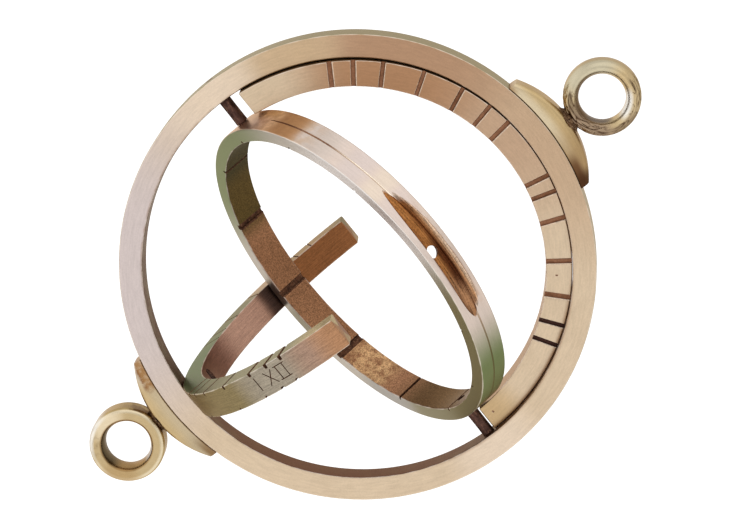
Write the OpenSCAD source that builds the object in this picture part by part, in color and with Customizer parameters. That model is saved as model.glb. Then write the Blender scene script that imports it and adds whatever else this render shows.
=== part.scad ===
// Ring dial: a meridian ring that hangs from an eye, two half-rings that swing on the loop axis
// and a sight ring that turns on two polar pins.
// The origin is the common centre of the rings. Z is the loop axis, with the upper eye at +Z.
// X is the polar axis, along the two pins. Y is square to the plane of the meridian ring.

/* [Meridian ring] */
// Outside diameter of the meridian ring
ring_od = 80; // [64:1:120]
// Radial wall of the meridian ring
ring_wall = 4; // [3:0.1:6]
// Width of the meridian ring along Y
ring_w = 5.2; // [4.8:0.1:8]

/* [Half-rings] */
// Radial wall of both half-rings
arc_wall = 4; // [3:0.1:5]
// Width of both half-rings
arc_w = 5; // [4.4:0.1:7]
// Clearance between the swinging corners of a half-ring and the meridian ring
arc_clear = 0.41; // [0.3:0.01:1]
// Angles of the sawn marks on each side of the middle mark of a group
mark_steps = [11.5, 19, 24.5]; // [5:0.5:28]

/* [Calendar arc] */
// Swing of the calendar arc out of the meridian plane
calendar_swing = 2.5; // [-180:0.5:180]
// Angle from the loop to the middle mark of each group
calendar_group = 33.7; // [30:0.1:50]
// Width of a calendar mark
calendar_mark_w = 0.9; // [0.3:0.1:1.4]
// Depth of a calendar mark
calendar_mark_depth = 0.7; // [0.2:0.1:1.2]
// Gap from the left pin to the end of the calendar arc
calendar_left_gap = 2.2; // [0.2:0.1:5]
// Gap from the right pin to the end of the calendar arc
calendar_right_gap = 0.35; // [0.2:0.05:5]

/* [Hour arc] */
// Swing of the hour arc out of the plane of the equator
hour_swing = 2.5; // [-180:0.5:180]
// Angle from the loop to the middle mark of each group
hour_group = 46.5; // [30:0.1:50]
// Width of an hour mark
hour_mark_w = 0.5; // [0.3:0.1:1.4]
// Depth of an hour mark
hour_mark_depth = 0.7; // [0.2:0.1:1.2]
// Gap from the line of the pins to the front end of the hour arc
hour_front_gap = 0.4; // [0.2:0.1:5]
// Gap from the line of the pins to the back end of the hour arc
hour_back_gap = 2.6; // [0.2:0.1:5]

/* [Sight ring] */
// Tilt of the sight ring about the pins
sight_tilt = 56; // [-180:1:180]
// Radial wall of the sight ring
sight_wall = 2.6; // [2.2:0.1:4]
// Width of the sight ring
sight_w = 5.5; // [4.4:0.1:7]
// Clearance between the turning corners of the sight ring and the half-rings
sight_clear = 0.38; // [0.3:0.01:1]
// Width of the groove round the outer wall
groove_w = 0.35; // [0.2:0.05:0.8]
// Depth of the groove round the outer wall
groove_depth = 0.3; // [0.1:0.05:0.6]
// Diameter of the pinhole
pinhole_d = 1.7; // [0.5:0.1:2]
// Offset of the pinhole from the middle of the ring's width towards the near face
pinhole_off = 0.7; // [0:0.05:0.8]
// Angle of the pinhole and scoop from the middle between the pins
scoop_angle = 3; // [-10:0.5:10]
// Length of the scoop
scoop_l = 24; // [12:0.5:28]
// Width of the scoop at its rim
scoop_w = 3.6; // [2.6:0.1:4]
// Depth of the shallow step of the scoop
scoop_step_depth = 0.4; // [0.2:0.1:0.7]
// Width of the floor of the scoop
scoop_floor_w = 2.3; // [2.1:0.1:2.5]
// Depth of the floor of the scoop
scoop_depth = 1.2; // [0.8:0.1:1.6]
// Width of the thin slots across the inner wall
slot_thin_w = 0.5; // [0.3:0.05:1]
// Width of the three broad slots across the inner wall
slot_broad_w = 1.2; // [0.6:0.05:1.6]
// Depth of the slots across the inner wall
slot_depth = 0.6; // [0.2:0.05:0.9]
// Turn of the row of slots from the pins
slot_turn = -2; // [-5:0.5:5]

/* [Polar pins] */
// Diameter of the bare length of a pin
pin_d = 2.1; // [1.8:0.1:3]
// Diameter of the spigot and the tail of a pin
pin_spigot_d = 1.5; // [1:0.1:1.7]
// Radial running clearance of the spigot in the sight ring
pin_run_clear = 0.05; // [0.02:0.01:0.1]
// Radial clearance of the fixed tail in the meridian ring
pin_seat_clear = 0.01; // [0.01:0.01:0.05]
// End play between a pin's shoulder and the sight ring
pin_end_play = 0.1; // [0.05:0.01:0.3]
// Distance of the spigot's end below the inner wall of the sight ring
pin_sink = 0.8; // [0.7:0.1:1.2]

/* [Pivot screws] */
// Diameter of the countersunk head
screw_head_d = 3; // [2.6:0.1:3.6]
// Diameter of the shoulder that the half-ring turns on
screw_shoulder_d = 2; // [1.8:0.1:2.4]
// Diameter of the threaded end
screw_thread_d = 1.6; // [1.2:0.1:1.7]
// Depth of the head below the inner wall of the half-ring
screw_sink = 0.15; // [0.05:0.05:0.4]
// Width of the screwdriver slot
screw_slot_w = 0.5; // [0.3:0.05:0.8]
// Depth of the screwdriver slot
screw_slot_depth = 0.35; // [0.2:0.05:0.45]
// Radial running clearance of the shoulder in the half-ring
screw_run_clear = 0.05; // [0.02:0.01:0.1]
// Radial clearance of the threaded end in what it holds
screw_seat_clear = 0.02; // [0.01:0.01:0.05]
// Metal left between the screw's tip and the neck of the eye
screw_tip_cover = 0.7; // [0.3:0.1:1]

/* [Washers] */
// Outside diameter of a friction washer
washer_od = 4.4; // [3.6:0.1:4.6]
// Clearance between a washer and the half-ring
washer_clear = 0.04; // [0.02:0.01:0.1]
// Depth of the flat seat of a washer in the meridian ring
washer_seat = 0.15; // [0.1:0.05:0.4]

/* [Saddles] */
// Length of a saddle
saddle_l = 20.6; // [14:0.2:26]
// Height of a saddle over the meridian ring
saddle_h = 3.45; // [3:0.05:5]
// Width of a saddle along Y
saddle_w = 5; // [4:0.1:8]
// Thickness of a saddle's tips
saddle_tip = 1.5; // [0.6:0.1:1.8]
// Gap under the middle of a saddle
saddle_gap = 0.25; // [0.1:0.05:0.5]
// Clearance under the tips of a saddle
saddle_tip_clear = 0.03; // [0.02:0.01:0.1]
// Lean of the upper saddle and its eye from the loop axis towards the right pin
upper_lean = 1.85; // [-3:0.05:3]
// Lean of the lower saddle and its eye from the loop axis towards the right pin
lower_lean = 0.45; // [-3:0.05:3]

/* [Eyes] */
// Outside diameter of an eye
eye_od = 13; // [11:0.1:18]
// Bore of an eye
eye_id = 7.8; // [5:0.1:8]
// Width of an eye along its bore
eye_w = 5; // [4.4:0.1:7]
// Rounding of the upper eye
upper_eye_round = 1.2; // [0.4:0.05:1.25]
// Rounding of the lower eye
lower_eye_round = 0.6; // [0.3:0.05:1.4]
// Gap between an eye and its saddle
eye_gap = 0.15; // [0.1:0.05:0.6]
// Diameter of the neck under an eye
neck_d = 3.6; // [2.8:0.1:4.2]
// Length of the neck that sits in the saddle
neck_seat = 1.1; // [0.6:0.1:1.6]
// Radial clearance of the neck in the saddle
neck_clear = 0.02; // [0.01:0.01:0.05]

/* [Hidden] */
$fn = 96;
// Overshoot of every cutting body
cut = 1;
// Angle between neighbouring slots of the sight ring, and the place that the pinhole takes
slot_pitch = 30;
pinhole_place = 3;
broad_places = [8, 9, 10];

ring_ro = ring_od / 2;
ring_ri = ring_ro - ring_wall;

// The corners of a swinging ring sweep a ball, so each ring's radius leaves room for its corners
function corner_radius(room, w) = sqrt(room * room - w * w / 4);
arc_ro = corner_radius(ring_ri - arc_clear, arc_w);
arc_ri = arc_ro - arc_wall;
sight_ro = corner_radius(arc_ri - sight_clear, sight_w);
sight_ri = sight_ro - sight_wall;

// Radius and centre height of the circle that rises by sag over a chord of length l
function bow_radius(l, sag) = (l * l / 4 + sag * sag) / (2 * sag);

saddle_foot = sqrt(ring_ro * ring_ro - saddle_l * saddle_l / 4);
saddle_top = ring_ro + saddle_h;
saddle_out_r = bow_radius(saddle_l, saddle_top - saddle_foot - saddle_tip);
saddle_hollow_top = ring_ro + saddle_gap;
saddle_in_r = bow_radius(saddle_l, saddle_hollow_top - saddle_foot - saddle_tip_clear);

eye_z = saddle_top + eye_gap + eye_od / 2;
eye_wall = (eye_od - eye_id) / 2;
neck_foot = saddle_top - neck_seat;

washer_floor = ring_ri + washer_seat;
washer_foot = arc_ro + washer_clear;
screw_head_z = arc_ri + screw_sink;
screw_neck_z = screw_head_z + (screw_head_d - screw_shoulder_d) / 2;
screw_tip_z = neck_foot - screw_tip_cover;

pin_shoulder_in = sight_ro + pin_end_play;
pin_shoulder_out = sqrt(ring_ri * ring_ri - pin_d * pin_d / 4) - pin_seat_clear;
pin_spigot_end = sight_ri + pin_sink;
pin_tail_end = sqrt(ring_ro * ring_ro - pin_spigot_d * pin_spigot_d / 4);

bronze = "#c8ad94";
brass = "#bfa678";
dark_bronze = "#4a322a";

// A disc about Y
module y_disc(r, w) {
    rotate([90, 0, 0]) cylinder(h = w, r = r, center = true);
}

// A flat band about Y
module band(ro, ri, w) {
    difference() {
        y_disc(ro, w);
        y_disc(ri, w + 2 * cut);
    }
}

// A round bar along Z between two heights
module bar(d, z0, z1) {
    translate([0, 0, z0]) cylinder(h = z1 - z0, d = d);
}

// Turns what stands on +Z to hang from -Z
module below() {
    rotate([180, 0, 0]) children();
}

// Turns what stands on +Z to point along X, to the right for side 1 and to the left for side -1
module along_x(side) {
    rotate([0, 90 * side, 0]) children();
}

// Holes through the meridian ring for a pivot screw and its washer, on +Z
module screw_cut() {
    bar(washer_od + 2 * washer_clear, ring_ri - cut, washer_floor);
    bar(screw_thread_d + 2 * screw_seat_clear, washer_floor - cut, ring_ro + cut);
}

module meridian_ring() {
    color(bronze) difference() {
        band(ring_ro, ring_ri, ring_w);
        screw_cut();
        below() screw_cut();
        for (side = [-1, 1]) {
            along_x(side) bar(pin_spigot_d + 2 * pin_seat_clear, ring_ri - cut, ring_ro + cut);
        }
    }
}

// A lens of metal over the meridian ring, hollowed to ride on its tips and bored for the neck and the screw
module saddle(lean) {
    difference() {
        rotate([0, lean, 0]) difference() {
            intersection() {
                translate([0, 0, saddle_top - saddle_out_r]) y_disc(saddle_out_r, saddle_w);
                translate([-saddle_l / 2, -saddle_w, 0]) cube([saddle_l, 2 * saddle_w, saddle_top + cut]);
            }
            translate([0, 0, saddle_hollow_top - saddle_in_r]) y_disc(saddle_in_r, saddle_w + 2 * cut);
            bar(neck_d + 2 * neck_clear, neck_foot, saddle_top + cut);
        }
        bar(screw_thread_d + 2 * screw_seat_clear, ring_ro - cut, screw_tip_z);
    }
}

module upper_saddle() {
    color(brass) saddle(upper_lean);
}

module lower_saddle() {
    color(brass) below() saddle(lower_lean);
}

// Section of an eye beside its axis: a block with four round corners
module eye_section(max_round) {
    round_r = min(max_round, eye_wall / 2 - 0.05);
    translate([eye_id / 2, 0]) union() {
        translate([round_r, -eye_w / 2]) square([eye_wall - 2 * round_r, eye_w]);
        translate([0, round_r - eye_w / 2]) square([eye_wall, eye_w - 2 * round_r]);
        for (x = [round_r, eye_wall - round_r], y = [round_r - eye_w / 2, eye_w / 2 - round_r]) {
            translate([x, y]) circle(r = round_r);
        }
    }
}

// An eye with its bore along Y, on a neck that is soldered into the saddle
module eye(round_r) {
    union() {
        translate([0, 0, eye_z]) rotate([90, 0, 0]) rotate_extrude() eye_section(round_r);
        bar(neck_d, neck_foot, eye_z - (eye_od - eye_wall) / 2);
    }
}

module upper_eye() {
    color(brass) rotate([0, upper_lean, 0]) eye(upper_eye_round);
}

module lower_eye() {
    color(brass) below() rotate([0, lower_lean, 0]) eye(lower_eye_round);
}

// A stepped pin: tail in the meridian ring, bare shoulder, spigot in the sight ring
module pin() {
    bar(pin_spigot_d, pin_spigot_end, pin_tail_end);
    bar(pin_d, pin_shoulder_in, pin_shoulder_out);
}

module left_pin() {
    color(dark_bronze) along_x(-1) pin();
}

module right_pin() {
    color(dark_bronze) along_x(1) pin();
}

// A countersunk screw whose shoulder stops on the washer seat and whose thread holds the saddle
module pivot_screw() {
    difference() {
        union() {
            translate([0, 0, screw_head_z])
                cylinder(h = screw_neck_z - screw_head_z, d1 = screw_head_d, d2 = screw_shoulder_d);
            bar(screw_shoulder_d, screw_neck_z, washer_floor);
            bar(screw_thread_d, washer_floor, screw_tip_z);
        }
        translate([-screw_head_d, -screw_slot_w / 2, screw_head_z - cut])
            cube([2 * screw_head_d, screw_slot_w, screw_slot_depth + cut]);
    }
}

module upper_pivot_screw() {
    color(dark_bronze) pivot_screw();
}

module lower_pivot_screw() {
    color(dark_bronze) below() pivot_screw();
}

module washer() {
    difference() {
        bar(washer_od, washer_foot, washer_floor);
        bar(screw_shoulder_d + 2 * screw_run_clear, washer_foot - cut, washer_floor + cut);
    }
}

module upper_washer() {
    color(dark_bronze) washer();
}

module lower_washer() {
    color(dark_bronze) below() washer();
}

// Bore and countersink of a half-ring for its pivot screw, on +Z
module pivot_cut() {
    head_cut_d = screw_head_d + 2 * screw_run_clear;
    bore_d = screw_shoulder_d + 2 * screw_run_clear;
    bar(bore_d, arc_ri - cut, arc_ro + cut);
    bar(head_cut_d, arc_ri - cut, screw_head_z);
    translate([0, 0, screw_head_z]) cylinder(h = screw_neck_z - screw_head_z, d1 = head_cut_d, d2 = bore_d);
}

// The sawn marks of a half-ring, seven to a group, across both flat faces
module season_marks(group, mark_w, mark_depth) {
    steps = concat([0], mark_steps, -mark_steps);
    for (middle = [-group, group], step = steps, face = [-1, 1]) {
        rotate([0, middle + step, 0])
            translate([-mark_w / 2, face * arc_w / 2 - mark_depth, arc_ri - cut])
                cube([mark_w, 2 * mark_depth, arc_wall + 2 * cut]);
    }
}

// A half-ring that stands on +Z in the XZ plane, its two ends cut square above the pins
module half_ring(group, mark_w, mark_depth, left_gap, right_gap) {
    reach = arc_ro + cut;
    difference() {
        band(arc_ro, arc_ri, arc_w);
        translate([-reach, -arc_w, -reach]) cube([reach, 2 * arc_w, reach + pin_d / 2 + left_gap]);
        translate([0, -arc_w, -reach]) cube([reach, 2 * arc_w, reach + pin_d / 2 + right_gap]);
        season_marks(group, mark_w, mark_depth);
        pivot_cut();
    }
}

module calendar_arc() {
    color(bronze) rotate([0, 0, calendar_swing])
        half_ring(calendar_group, calendar_mark_w, calendar_mark_depth, calendar_left_gap, calendar_right_gap);
}

module hour_arc() {
    color(bronze) rotate([0, 0, 90 + hour_swing]) below()
        half_ring(hour_group, hour_mark_w, hour_mark_depth, hour_front_gap, hour_back_gap);
}

// A boat-shaped outline between two circular bows
module boat(l, w) {
    bow_r = bow_radius(l, w / 2);
    intersection_for (side = [-1, 1]) {
        translate([0, side * (bow_r - w / 2)]) circle(r = bow_r);
    }
}

// One level of the scoop: a boat-shaped prism over the floor that it is cut to
module scoop_level(l, w, depth) {
    difference() {
        linear_extrude(height = sight_ro + cut) boat(l, w);
        y_disc(sight_ro - depth, sight_w + 2 * cut);
    }
}

module sight_ring() {
    color(bronze) rotate([sight_tilt, 0, 0]) difference() {
        band(sight_ro, sight_ri, sight_w);
        band(sight_ro + cut, sight_ro - groove_depth, groove_w);
        rotate([0, scoop_angle, 0]) {
            scoop_level(scoop_l, scoop_w, scoop_step_depth);
            scoop_level(scoop_l, scoop_floor_w, scoop_depth);
            translate([0, -pinhole_off, 0]) bar(pinhole_d, sight_ri - cut, sight_ro + cut);
        }
        for (place = [0:360 / slot_pitch - 1]) {
            slot_w = len(search(place, broad_places)) > 0 ? slot_broad_w : slot_thin_w;
            if (place != pinhole_place) {
                rotate([0, -place * slot_pitch - slot_turn, 0])
                    translate([sight_ri - cut, -sight_w, -slot_w / 2])
                        cube([cut + slot_depth, 2 * sight_w, slot_w]);
            }
        }
        for (side = [-1, 1]) {
            along_x(side) bar(pin_spigot_d + 2 * pin_run_clear, sight_ri - cut, sight_ro + cut);
        }
    }
}

meridian_ring();
upper_saddle();
lower_saddle();
upper_eye();
lower_eye();
left_pin();
right_pin();
upper_pivot_screw();
lower_pivot_screw();
upper_washer();
lower_washer();
calendar_arc();
hour_arc();
sight_ring();
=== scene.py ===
"""Looks of a hanging ring dial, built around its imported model.

Lengths in the classes are millimetres in the dial's own frame, and finished meshes are in metres.
Z is the loop axis with the upper eye at +Z, X runs along the polar pins, and the photographed face
looks towards -Y. An angle on a ring is counted from +X towards +Z.
"""

import logging
import math
from dataclasses import dataclass
from enum import Enum
from typing import Mapping, Optional, Sequence, Union

import bmesh
import bpy
from mathutils import Euler, Matrix, Quaternion, Vector, noise


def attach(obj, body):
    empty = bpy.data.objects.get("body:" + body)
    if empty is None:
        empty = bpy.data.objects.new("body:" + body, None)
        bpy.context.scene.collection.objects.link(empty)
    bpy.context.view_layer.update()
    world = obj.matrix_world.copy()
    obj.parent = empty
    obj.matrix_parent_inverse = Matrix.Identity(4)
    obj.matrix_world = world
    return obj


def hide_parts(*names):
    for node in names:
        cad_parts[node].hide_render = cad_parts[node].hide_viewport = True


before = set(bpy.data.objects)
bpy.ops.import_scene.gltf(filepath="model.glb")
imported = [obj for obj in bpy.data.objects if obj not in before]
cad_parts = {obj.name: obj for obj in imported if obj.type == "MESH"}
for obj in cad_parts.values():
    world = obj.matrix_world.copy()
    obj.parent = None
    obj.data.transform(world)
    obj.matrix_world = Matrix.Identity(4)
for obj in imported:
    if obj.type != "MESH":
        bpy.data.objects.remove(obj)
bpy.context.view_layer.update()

MM = 0.001
PER_METRE = 1000.0
LOG = logging.getLogger("ring_dial")

# How far a cutter reaches past the surface that it cuts
OVERSHOOT = 1.0

# Fineness of the swept and turned shapes
RING_STATIONS = 288
HALF_RING_STATIONS = 150
CORNER_STEPS = 3
BORE_STEPS = 40

# Turn of each moving ring out of the meridian plane at rest, in degrees
CALENDAR_SWING = 2.5
HOUR_SWING = 92.5
SIGHT_TILT = 56.0

# Distance of the eyes' middles from the centre of the dial
EYE_HEIGHT = 50.1

Value = Union[float, int, bool, str, tuple, bpy.types.NodeSocket, bpy.types.ID]
Sockets = Mapping[Union[str, int], bpy.types.NodeSocket]

# Strength and tint of the metals' reflection at a grazing angle, in linear light
EDGE_SHEEN = 0.25
EDGE_TINT = (0.78, 0.68, 0.58, 1.0)


@dataclass(frozen=True)
class Band:
    """Section of a ring.

    Attributes:
        outer: Outer radius.
        wall: Thickness between the inner and the outer wall.
        width: Width along the ring's axis.
    """

    outer: float
    wall: float
    width: float

    @property
    def inner(self) -> float:
        """Returns the inner radius."""
        return self.outer - self.wall

    @property
    def middle(self) -> float:
        """Returns the radius half-way through the wall."""
        return self.outer - self.wall / 2


MERIDIAN = Band(outer=40.0, wall=4.0, width=5.2)
CALENDAR = Band(outer=35.9, wall=4.4, width=5.0)
HOUR = Band(outer=35.5025, wall=4.0, width=5.0)
SIGHT = Band(outer=31.0, wall=2.6, width=5.5)
SADDLE = Band(outer=43.5, wall=3.5, width=5.0)
EYE = Band(outer=6.495, wall=2.595, width=5.0)


@dataclass(frozen=True)
class Tone:
    """A colour as a screen shows it, 0 to 255 in each channel."""

    red: float
    green: float
    blue: float

    def linear(self) -> tuple[float, float, float, float]:
        """Returns the colour in linear light with full opacity."""
        parts = [channel / 255.0 for channel in (self.red, self.green, self.blue)]
        return (*(p / 12.92 if p <= 0.04045 else ((p + 0.055) / 1.055) ** 2.4 for p in parts), 1.0)


BEIGE = Tone(198, 177, 150)
SAND = Tone(203, 182, 155)
# Cream for painted sheen on the faces and painted highlights on the marks' rims
CREAM_SHEEN = Tone(216, 197, 176)
# Pale lilac for painted reflection
LILAC_REFLECTION = Tone(195, 182, 178)
# Tan, also used for painted sheen on the meridian faces
TAN = Tone(169, 134, 106)
# Copper for painted sheen
COPPER_SHEEN = Tone(164, 124, 92)
# Bright tone of the rims, for rubbed wear and a painted highlight
BRIGHT_WEAR_AND_HIGHLIGHT = Tone(238, 226, 214)
BROWN = Tone(132, 92, 58)
RED_BROWN = Tone(96, 62, 48)
UMBER = Tone(70, 46, 32)
OLIVE = Tone(122, 124, 92)
PALE_BRASS = Tone(206, 190, 160)


class Wall(Enum):
    """A side of a band, or all of it."""

    ALL = "all"
    FACES = "Faces"
    NEAR = "Near Face"
    FAR = "Far Face"
    INNER = "Inner Wall"
    OUTER = "Outer Wall"


class Side(Enum):
    """The two ends of the loop axis."""

    UPPER = 1
    LOWER = -1


# Lean of each saddle and its eye from the loop axis towards +X, in degrees
LEAN = {Side.UPPER: 1.85, Side.LOWER: 0.45}


class NodeBench:
    """Adds nodes to one tree and links them, so that a tree reads as a list of steps."""

    def __init__(self, tree: bpy.types.NodeTree) -> None:
        """Takes the tree to work on."""
        self.tree = tree

    def add(self, kind: str, values: Optional[Mapping] = None, **options: Value) -> bpy.types.Node:
        """Adds a node.

        Args:
            kind: Blender's name for the node type.
            values: A value to set or a socket to link for each input, by name or place.
            options: The node's own properties.

        Returns:
            The new node.
        """
        node = self.tree.nodes.new(kind)
        for name, option in options.items():
            setattr(node, name, option)
        for key, value in (values or {}).items():
            if isinstance(value, bpy.types.NodeSocket):
                self.tree.links.new(value, node.inputs[key])
            else:
                node.inputs[key].default_value = value
        return node

    def out(self, kind: str, values: Optional[Mapping] = None, **options: Value) -> bpy.types.NodeSocket:
        """Adds a node as add does and returns its first output."""
        return self.add(kind, values, **options).outputs[0]

    def group(self, tree: bpy.types.NodeTree, values: Mapping[str, Value]) -> Sockets:
        """Adds a shader node group with a value or a socket for each input, and returns its outputs."""
        return self.add("ShaderNodeGroup", values, node_tree=tree).outputs

    def math(self, operation: str, first: Value, second: Value = 0.0) -> bpy.types.NodeSocket:
        """Adds a Math node on two numbers or sockets and returns its socket."""
        return self.out("ShaderNodeMath", {0: first, 1: second}, operation=operation)

    def ramp(self, value: Value, low: Value, high: Value, start: float = 0.0,
             stop: float = 1.0) -> bpy.types.NodeSocket:
        """Adds a smooth Map Range node from low and high to start and stop, and returns its socket."""
        return self.out("ShaderNodeMapRange", {0: value, 1: low, 2: high, 3: start, 4: stop},
                        interpolation_type="SMOOTHSTEP")

    def mix(self, share: Value, first: Value, second: Value) -> bpy.types.NodeSocket:
        """Adds a Mix node for colours, with a share of the second, and returns its socket."""
        node = self.add("ShaderNodeMix", {0: share, 6: first, 7: second}, data_type="RGBA")
        return node.outputs[2]

    def blend(self, share: Value, first: Value, second: Value) -> bpy.types.NodeSocket:
        """Adds a Mix node for numbers, with a share of the second, and returns its socket."""
        return self.out("ShaderNodeMix", {0: share, 2: first, 3: second})


SOCKET_TYPES = {
    "value": "NodeSocketFloat",
    "count": "NodeSocketInt",
    "vector": "NodeSocketVector",
    "geometry": "NodeSocketGeometry",
    "object": "NodeSocketObject",
    "collection": "NodeSocketCollection",
    "material": "NodeSocketMaterial",
}


def new_tree(name: str, inputs: Mapping[str, str], outputs: Mapping[str, str],
             kind: str = "ShaderNodeTree") -> tuple[NodeBench, Sockets, bpy.types.Node]:
    """Makes a node group with named sockets.

    Args:
        name: Name of the group.
        inputs: For each input's name, its kind in SOCKET_TYPES.
        outputs: The same for the outputs.
        kind: Blender's name for the tree type.

    Returns:
        A bench for the tree, the sockets of its inputs and its output node.
    """
    tree = bpy.data.node_groups.new(name, kind)
    for key, socket in inputs.items():
        tree.interface.new_socket(key, in_out="INPUT", socket_type=SOCKET_TYPES[socket])
    for key, socket in outputs.items():
        tree.interface.new_socket(key, in_out="OUTPUT", socket_type=SOCKET_TYPES[socket])
    bench = NodeBench(tree)
    return bench, bench.add("NodeGroupInput").outputs, bench.add("NodeGroupOutput")


def blank_material(name: str) -> tuple[bpy.types.Material, NodeBench]:
    """Makes a material with an empty node tree.

    Args:
        name: Name of the material.

    Returns:
        The material and a bench for its tree.
    """
    material = bpy.data.materials.new(name)
    material.use_nodes = True
    material.node_tree.nodes.clear()
    return material, NodeBench(material.node_tree)


def add_metal(bench: NodeBench, colour: Value, metallic: Value, rough: Value, height: Value,
              strength: float, depth: float) -> None:
    """Adds the shader and the output of a metal finish.

    Args:
        bench: The material's bench.
        colour: Base colour.
        metallic: Share of metal.
        rough: Roughness.
        height: Relief, 0 to 1.
        strength: Strength of the relief.
        depth: Depth of the relief, in millimetres.
    """
    bump = bench.out("ShaderNodeBump", {"Strength": strength, "Distance": depth * MM, "Height": height})
    shader = bench.out("ShaderNodeBsdfPrincipled", {
        "Base Color": colour, "Metallic": metallic, "Roughness": rough, "Normal": bump,
        "Specular IOR Level": EDGE_SHEEN, "Specular Tint": EDGE_TINT})
    bench.add("ShaderNodeOutputMaterial", {"Surface": shader})


class FinishEffects:
    """The shader node groups that the finishes share, each built once."""

    # Half of the blur between a band's sides, weight of the axial place in the grain, share of the pits
    # in the brushing, and the limits of the rims' unevenness with the reach at each
    SIDE_SOFT = 0.12
    AXIAL_WEIGHT = 1.31
    PIT_SHARE = 0.35
    RIM_REACH = (0.3, 0.7, 0.5, 1.2)

    def __init__(self) -> None:
        """Builds every group."""
        self.ring_space = self._ring_space()
        self.band_sides = self._band_sides()
        self.sector = self._sector()
        self.mottle = self._mottle()
        self.brushing = self._brushing()
        self.edge_wear = self._edge_wear()

    @staticmethod
    def _close(bench: NodeBench, end: bpy.types.Node, results: Mapping[str, Value]) -> bpy.types.NodeTree:
        """Links a group's results to its output node.

        Args:
            bench: The group's bench.
            end: Its output node.
            results: A socket for each output.

        Returns:
            The group.
        """
        for key, socket in results.items():
            bench.tree.links.new(socket, end.inputs[key])
        return bench.tree

    def _ring_space(self) -> bpy.types.NodeTree:
        """Builds the group that gives the place on a band about Y: radius, axial place, direction, grain.

        Returns:
            The group.
        """
        bench, start, end = new_tree(
            "ring_space", {"Vector": "vector", "Along": "value", "Across": "value"},
            {"Radius": "value", "Axial": "value", "Direction": "vector", "Grain": "vector"})
        parts = bench.add("ShaderNodeSeparateXYZ", {0: start["Vector"]})
        flat = bench.out("ShaderNodeCombineXYZ", {0: parts.outputs[0], 2: parts.outputs[2]})
        radius = bench.add("ShaderNodeVectorMath", {0: flat}, operation="LENGTH").outputs["Value"]
        heading = bench.out("ShaderNodeVectorMath", {0: flat}, operation="NORMALIZE")
        along = bench.out("ShaderNodeVectorMath", {0: heading, "Scale": start["Along"]},
                          operation="SCALE")
        section = bench.math("ADD", radius, bench.math("MULTIPLY", parts.outputs[1], self.AXIAL_WEIGHT))
        across = bench.math("MULTIPLY", section, start["Across"])
        lift = bench.out("ShaderNodeCombineXYZ", {1: across})
        grain = bench.out("ShaderNodeVectorMath", {0: along, 1: lift}, operation="ADD")
        return self._close(bench, end, {
            "Radius": radius, "Axial": parts.outputs[1], "Direction": heading, "Grain": grain})

    def _band_sides(self) -> bpy.types.NodeTree:
        """Builds the group that tells a band's faces, inner wall and outer wall apart.

        Returns:
            The group.
        """
        bench, start, end = new_tree(
            "band_sides",
            {"Radius": "value", "Axial": "value", "Inner": "value", "Outer": "value", "Half Width": "value"},
            {wall.value: "value" for wall in Wall if wall is not Wall.ALL} | {"Edge Distance": "value"})
        inside = bench.math("SUBTRACT", start["Radius"], start["Inner"])
        outside = bench.math("SUBTRACT", start["Outer"], start["Radius"])
        beside = bench.math("SUBTRACT", start["Half Width"], bench.math("ABSOLUTE", start["Axial"]))
        inner_lead = bench.math("SUBTRACT", bench.math("MINIMUM", beside, outside), inside)
        outer_lead = bench.math("SUBTRACT", bench.math("MINIMUM", beside, inside), outside)
        inner = bench.ramp(inner_lead, -self.SIDE_SOFT, self.SIDE_SOFT)
        outer = bench.ramp(outer_lead, -self.SIDE_SOFT, self.SIDE_SOFT)
        faces = bench.math("SUBTRACT", 1.0, bench.math("MAXIMUM", inner, outer))
        near = bench.math("LESS_THAN", start["Axial"], 0.0)
        far = bench.math("SUBTRACT", 1.0, near)
        edge = bench.math("MAXIMUM", bench.math("MINIMUM", inside, outside), beside)
        return self._close(bench, end, {
            Wall.FACES.value: faces,
            Wall.NEAR.value: bench.math("MULTIPLY", faces, near),
            Wall.FAR.value: bench.math("MULTIPLY", faces, far),
            Wall.INNER.value: inner,
            Wall.OUTER.value: outer,
            "Edge Distance": edge})

    def _sector(self) -> bpy.types.NodeTree:
        """Builds the group that masks a stretch of a ring about a heading.

        Returns:
            The group.
        """
        bench, start, end = new_tree(
            "sector",
            {"Direction": "vector", "Heading": "vector", "Outer Cosine": "value", "Inner Cosine": "value"},
            {"Mask": "value"})
        cosine = bench.add("ShaderNodeVectorMath",
                           {0: start["Direction"], 1: start["Heading"]},
                           operation="DOT_PRODUCT").outputs["Value"]
        mask = bench.ramp(cosine, start["Outer Cosine"], start["Inner Cosine"])
        return self._close(bench, end, {"Mask": mask})

    def _mottle(self) -> bpy.types.NodeTree:
        """Builds the group for cloudy and granular unevenness.

        Returns:
            The group.
        """
        bench, start, end = new_tree(
            "mottle", {"Vector": "vector", "Scale": "value", "Low": "value", "High": "value"},
            {"Mask": "value"})
        cloud = bench.out("ShaderNodeTexNoise", {
            "Vector": start["Vector"], "Scale": start["Scale"], "Detail": 5.0, "Roughness": 0.62})
        mask = bench.ramp(cloud, start["Low"], start["High"])
        return self._close(bench, end, {"Mask": mask})

    def _brushing(self) -> bpy.types.NodeTree:
        """Builds the group for fine marks along a band, as a value about one half.

        Returns:
            The group.
        """
        bench, start, end = new_tree(
            "brushing", {"Grain": "vector", "Vector": "vector"}, {"Streaks": "value"})
        long_marks = bench.out("ShaderNodeTexNoise", {
            "Vector": start["Grain"], "Scale": 1.0, "Detail": 4.0, "Roughness": 0.7})
        pits = bench.out("ShaderNodeTexNoise", {
            "Vector": start["Vector"], "Scale": 3.4, "Detail": 3.0, "Roughness": 0.6})
        streaks = bench.blend(self.PIT_SHARE, long_marks, pits)
        return self._close(bench, end, {"Streaks": streaks})

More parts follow.
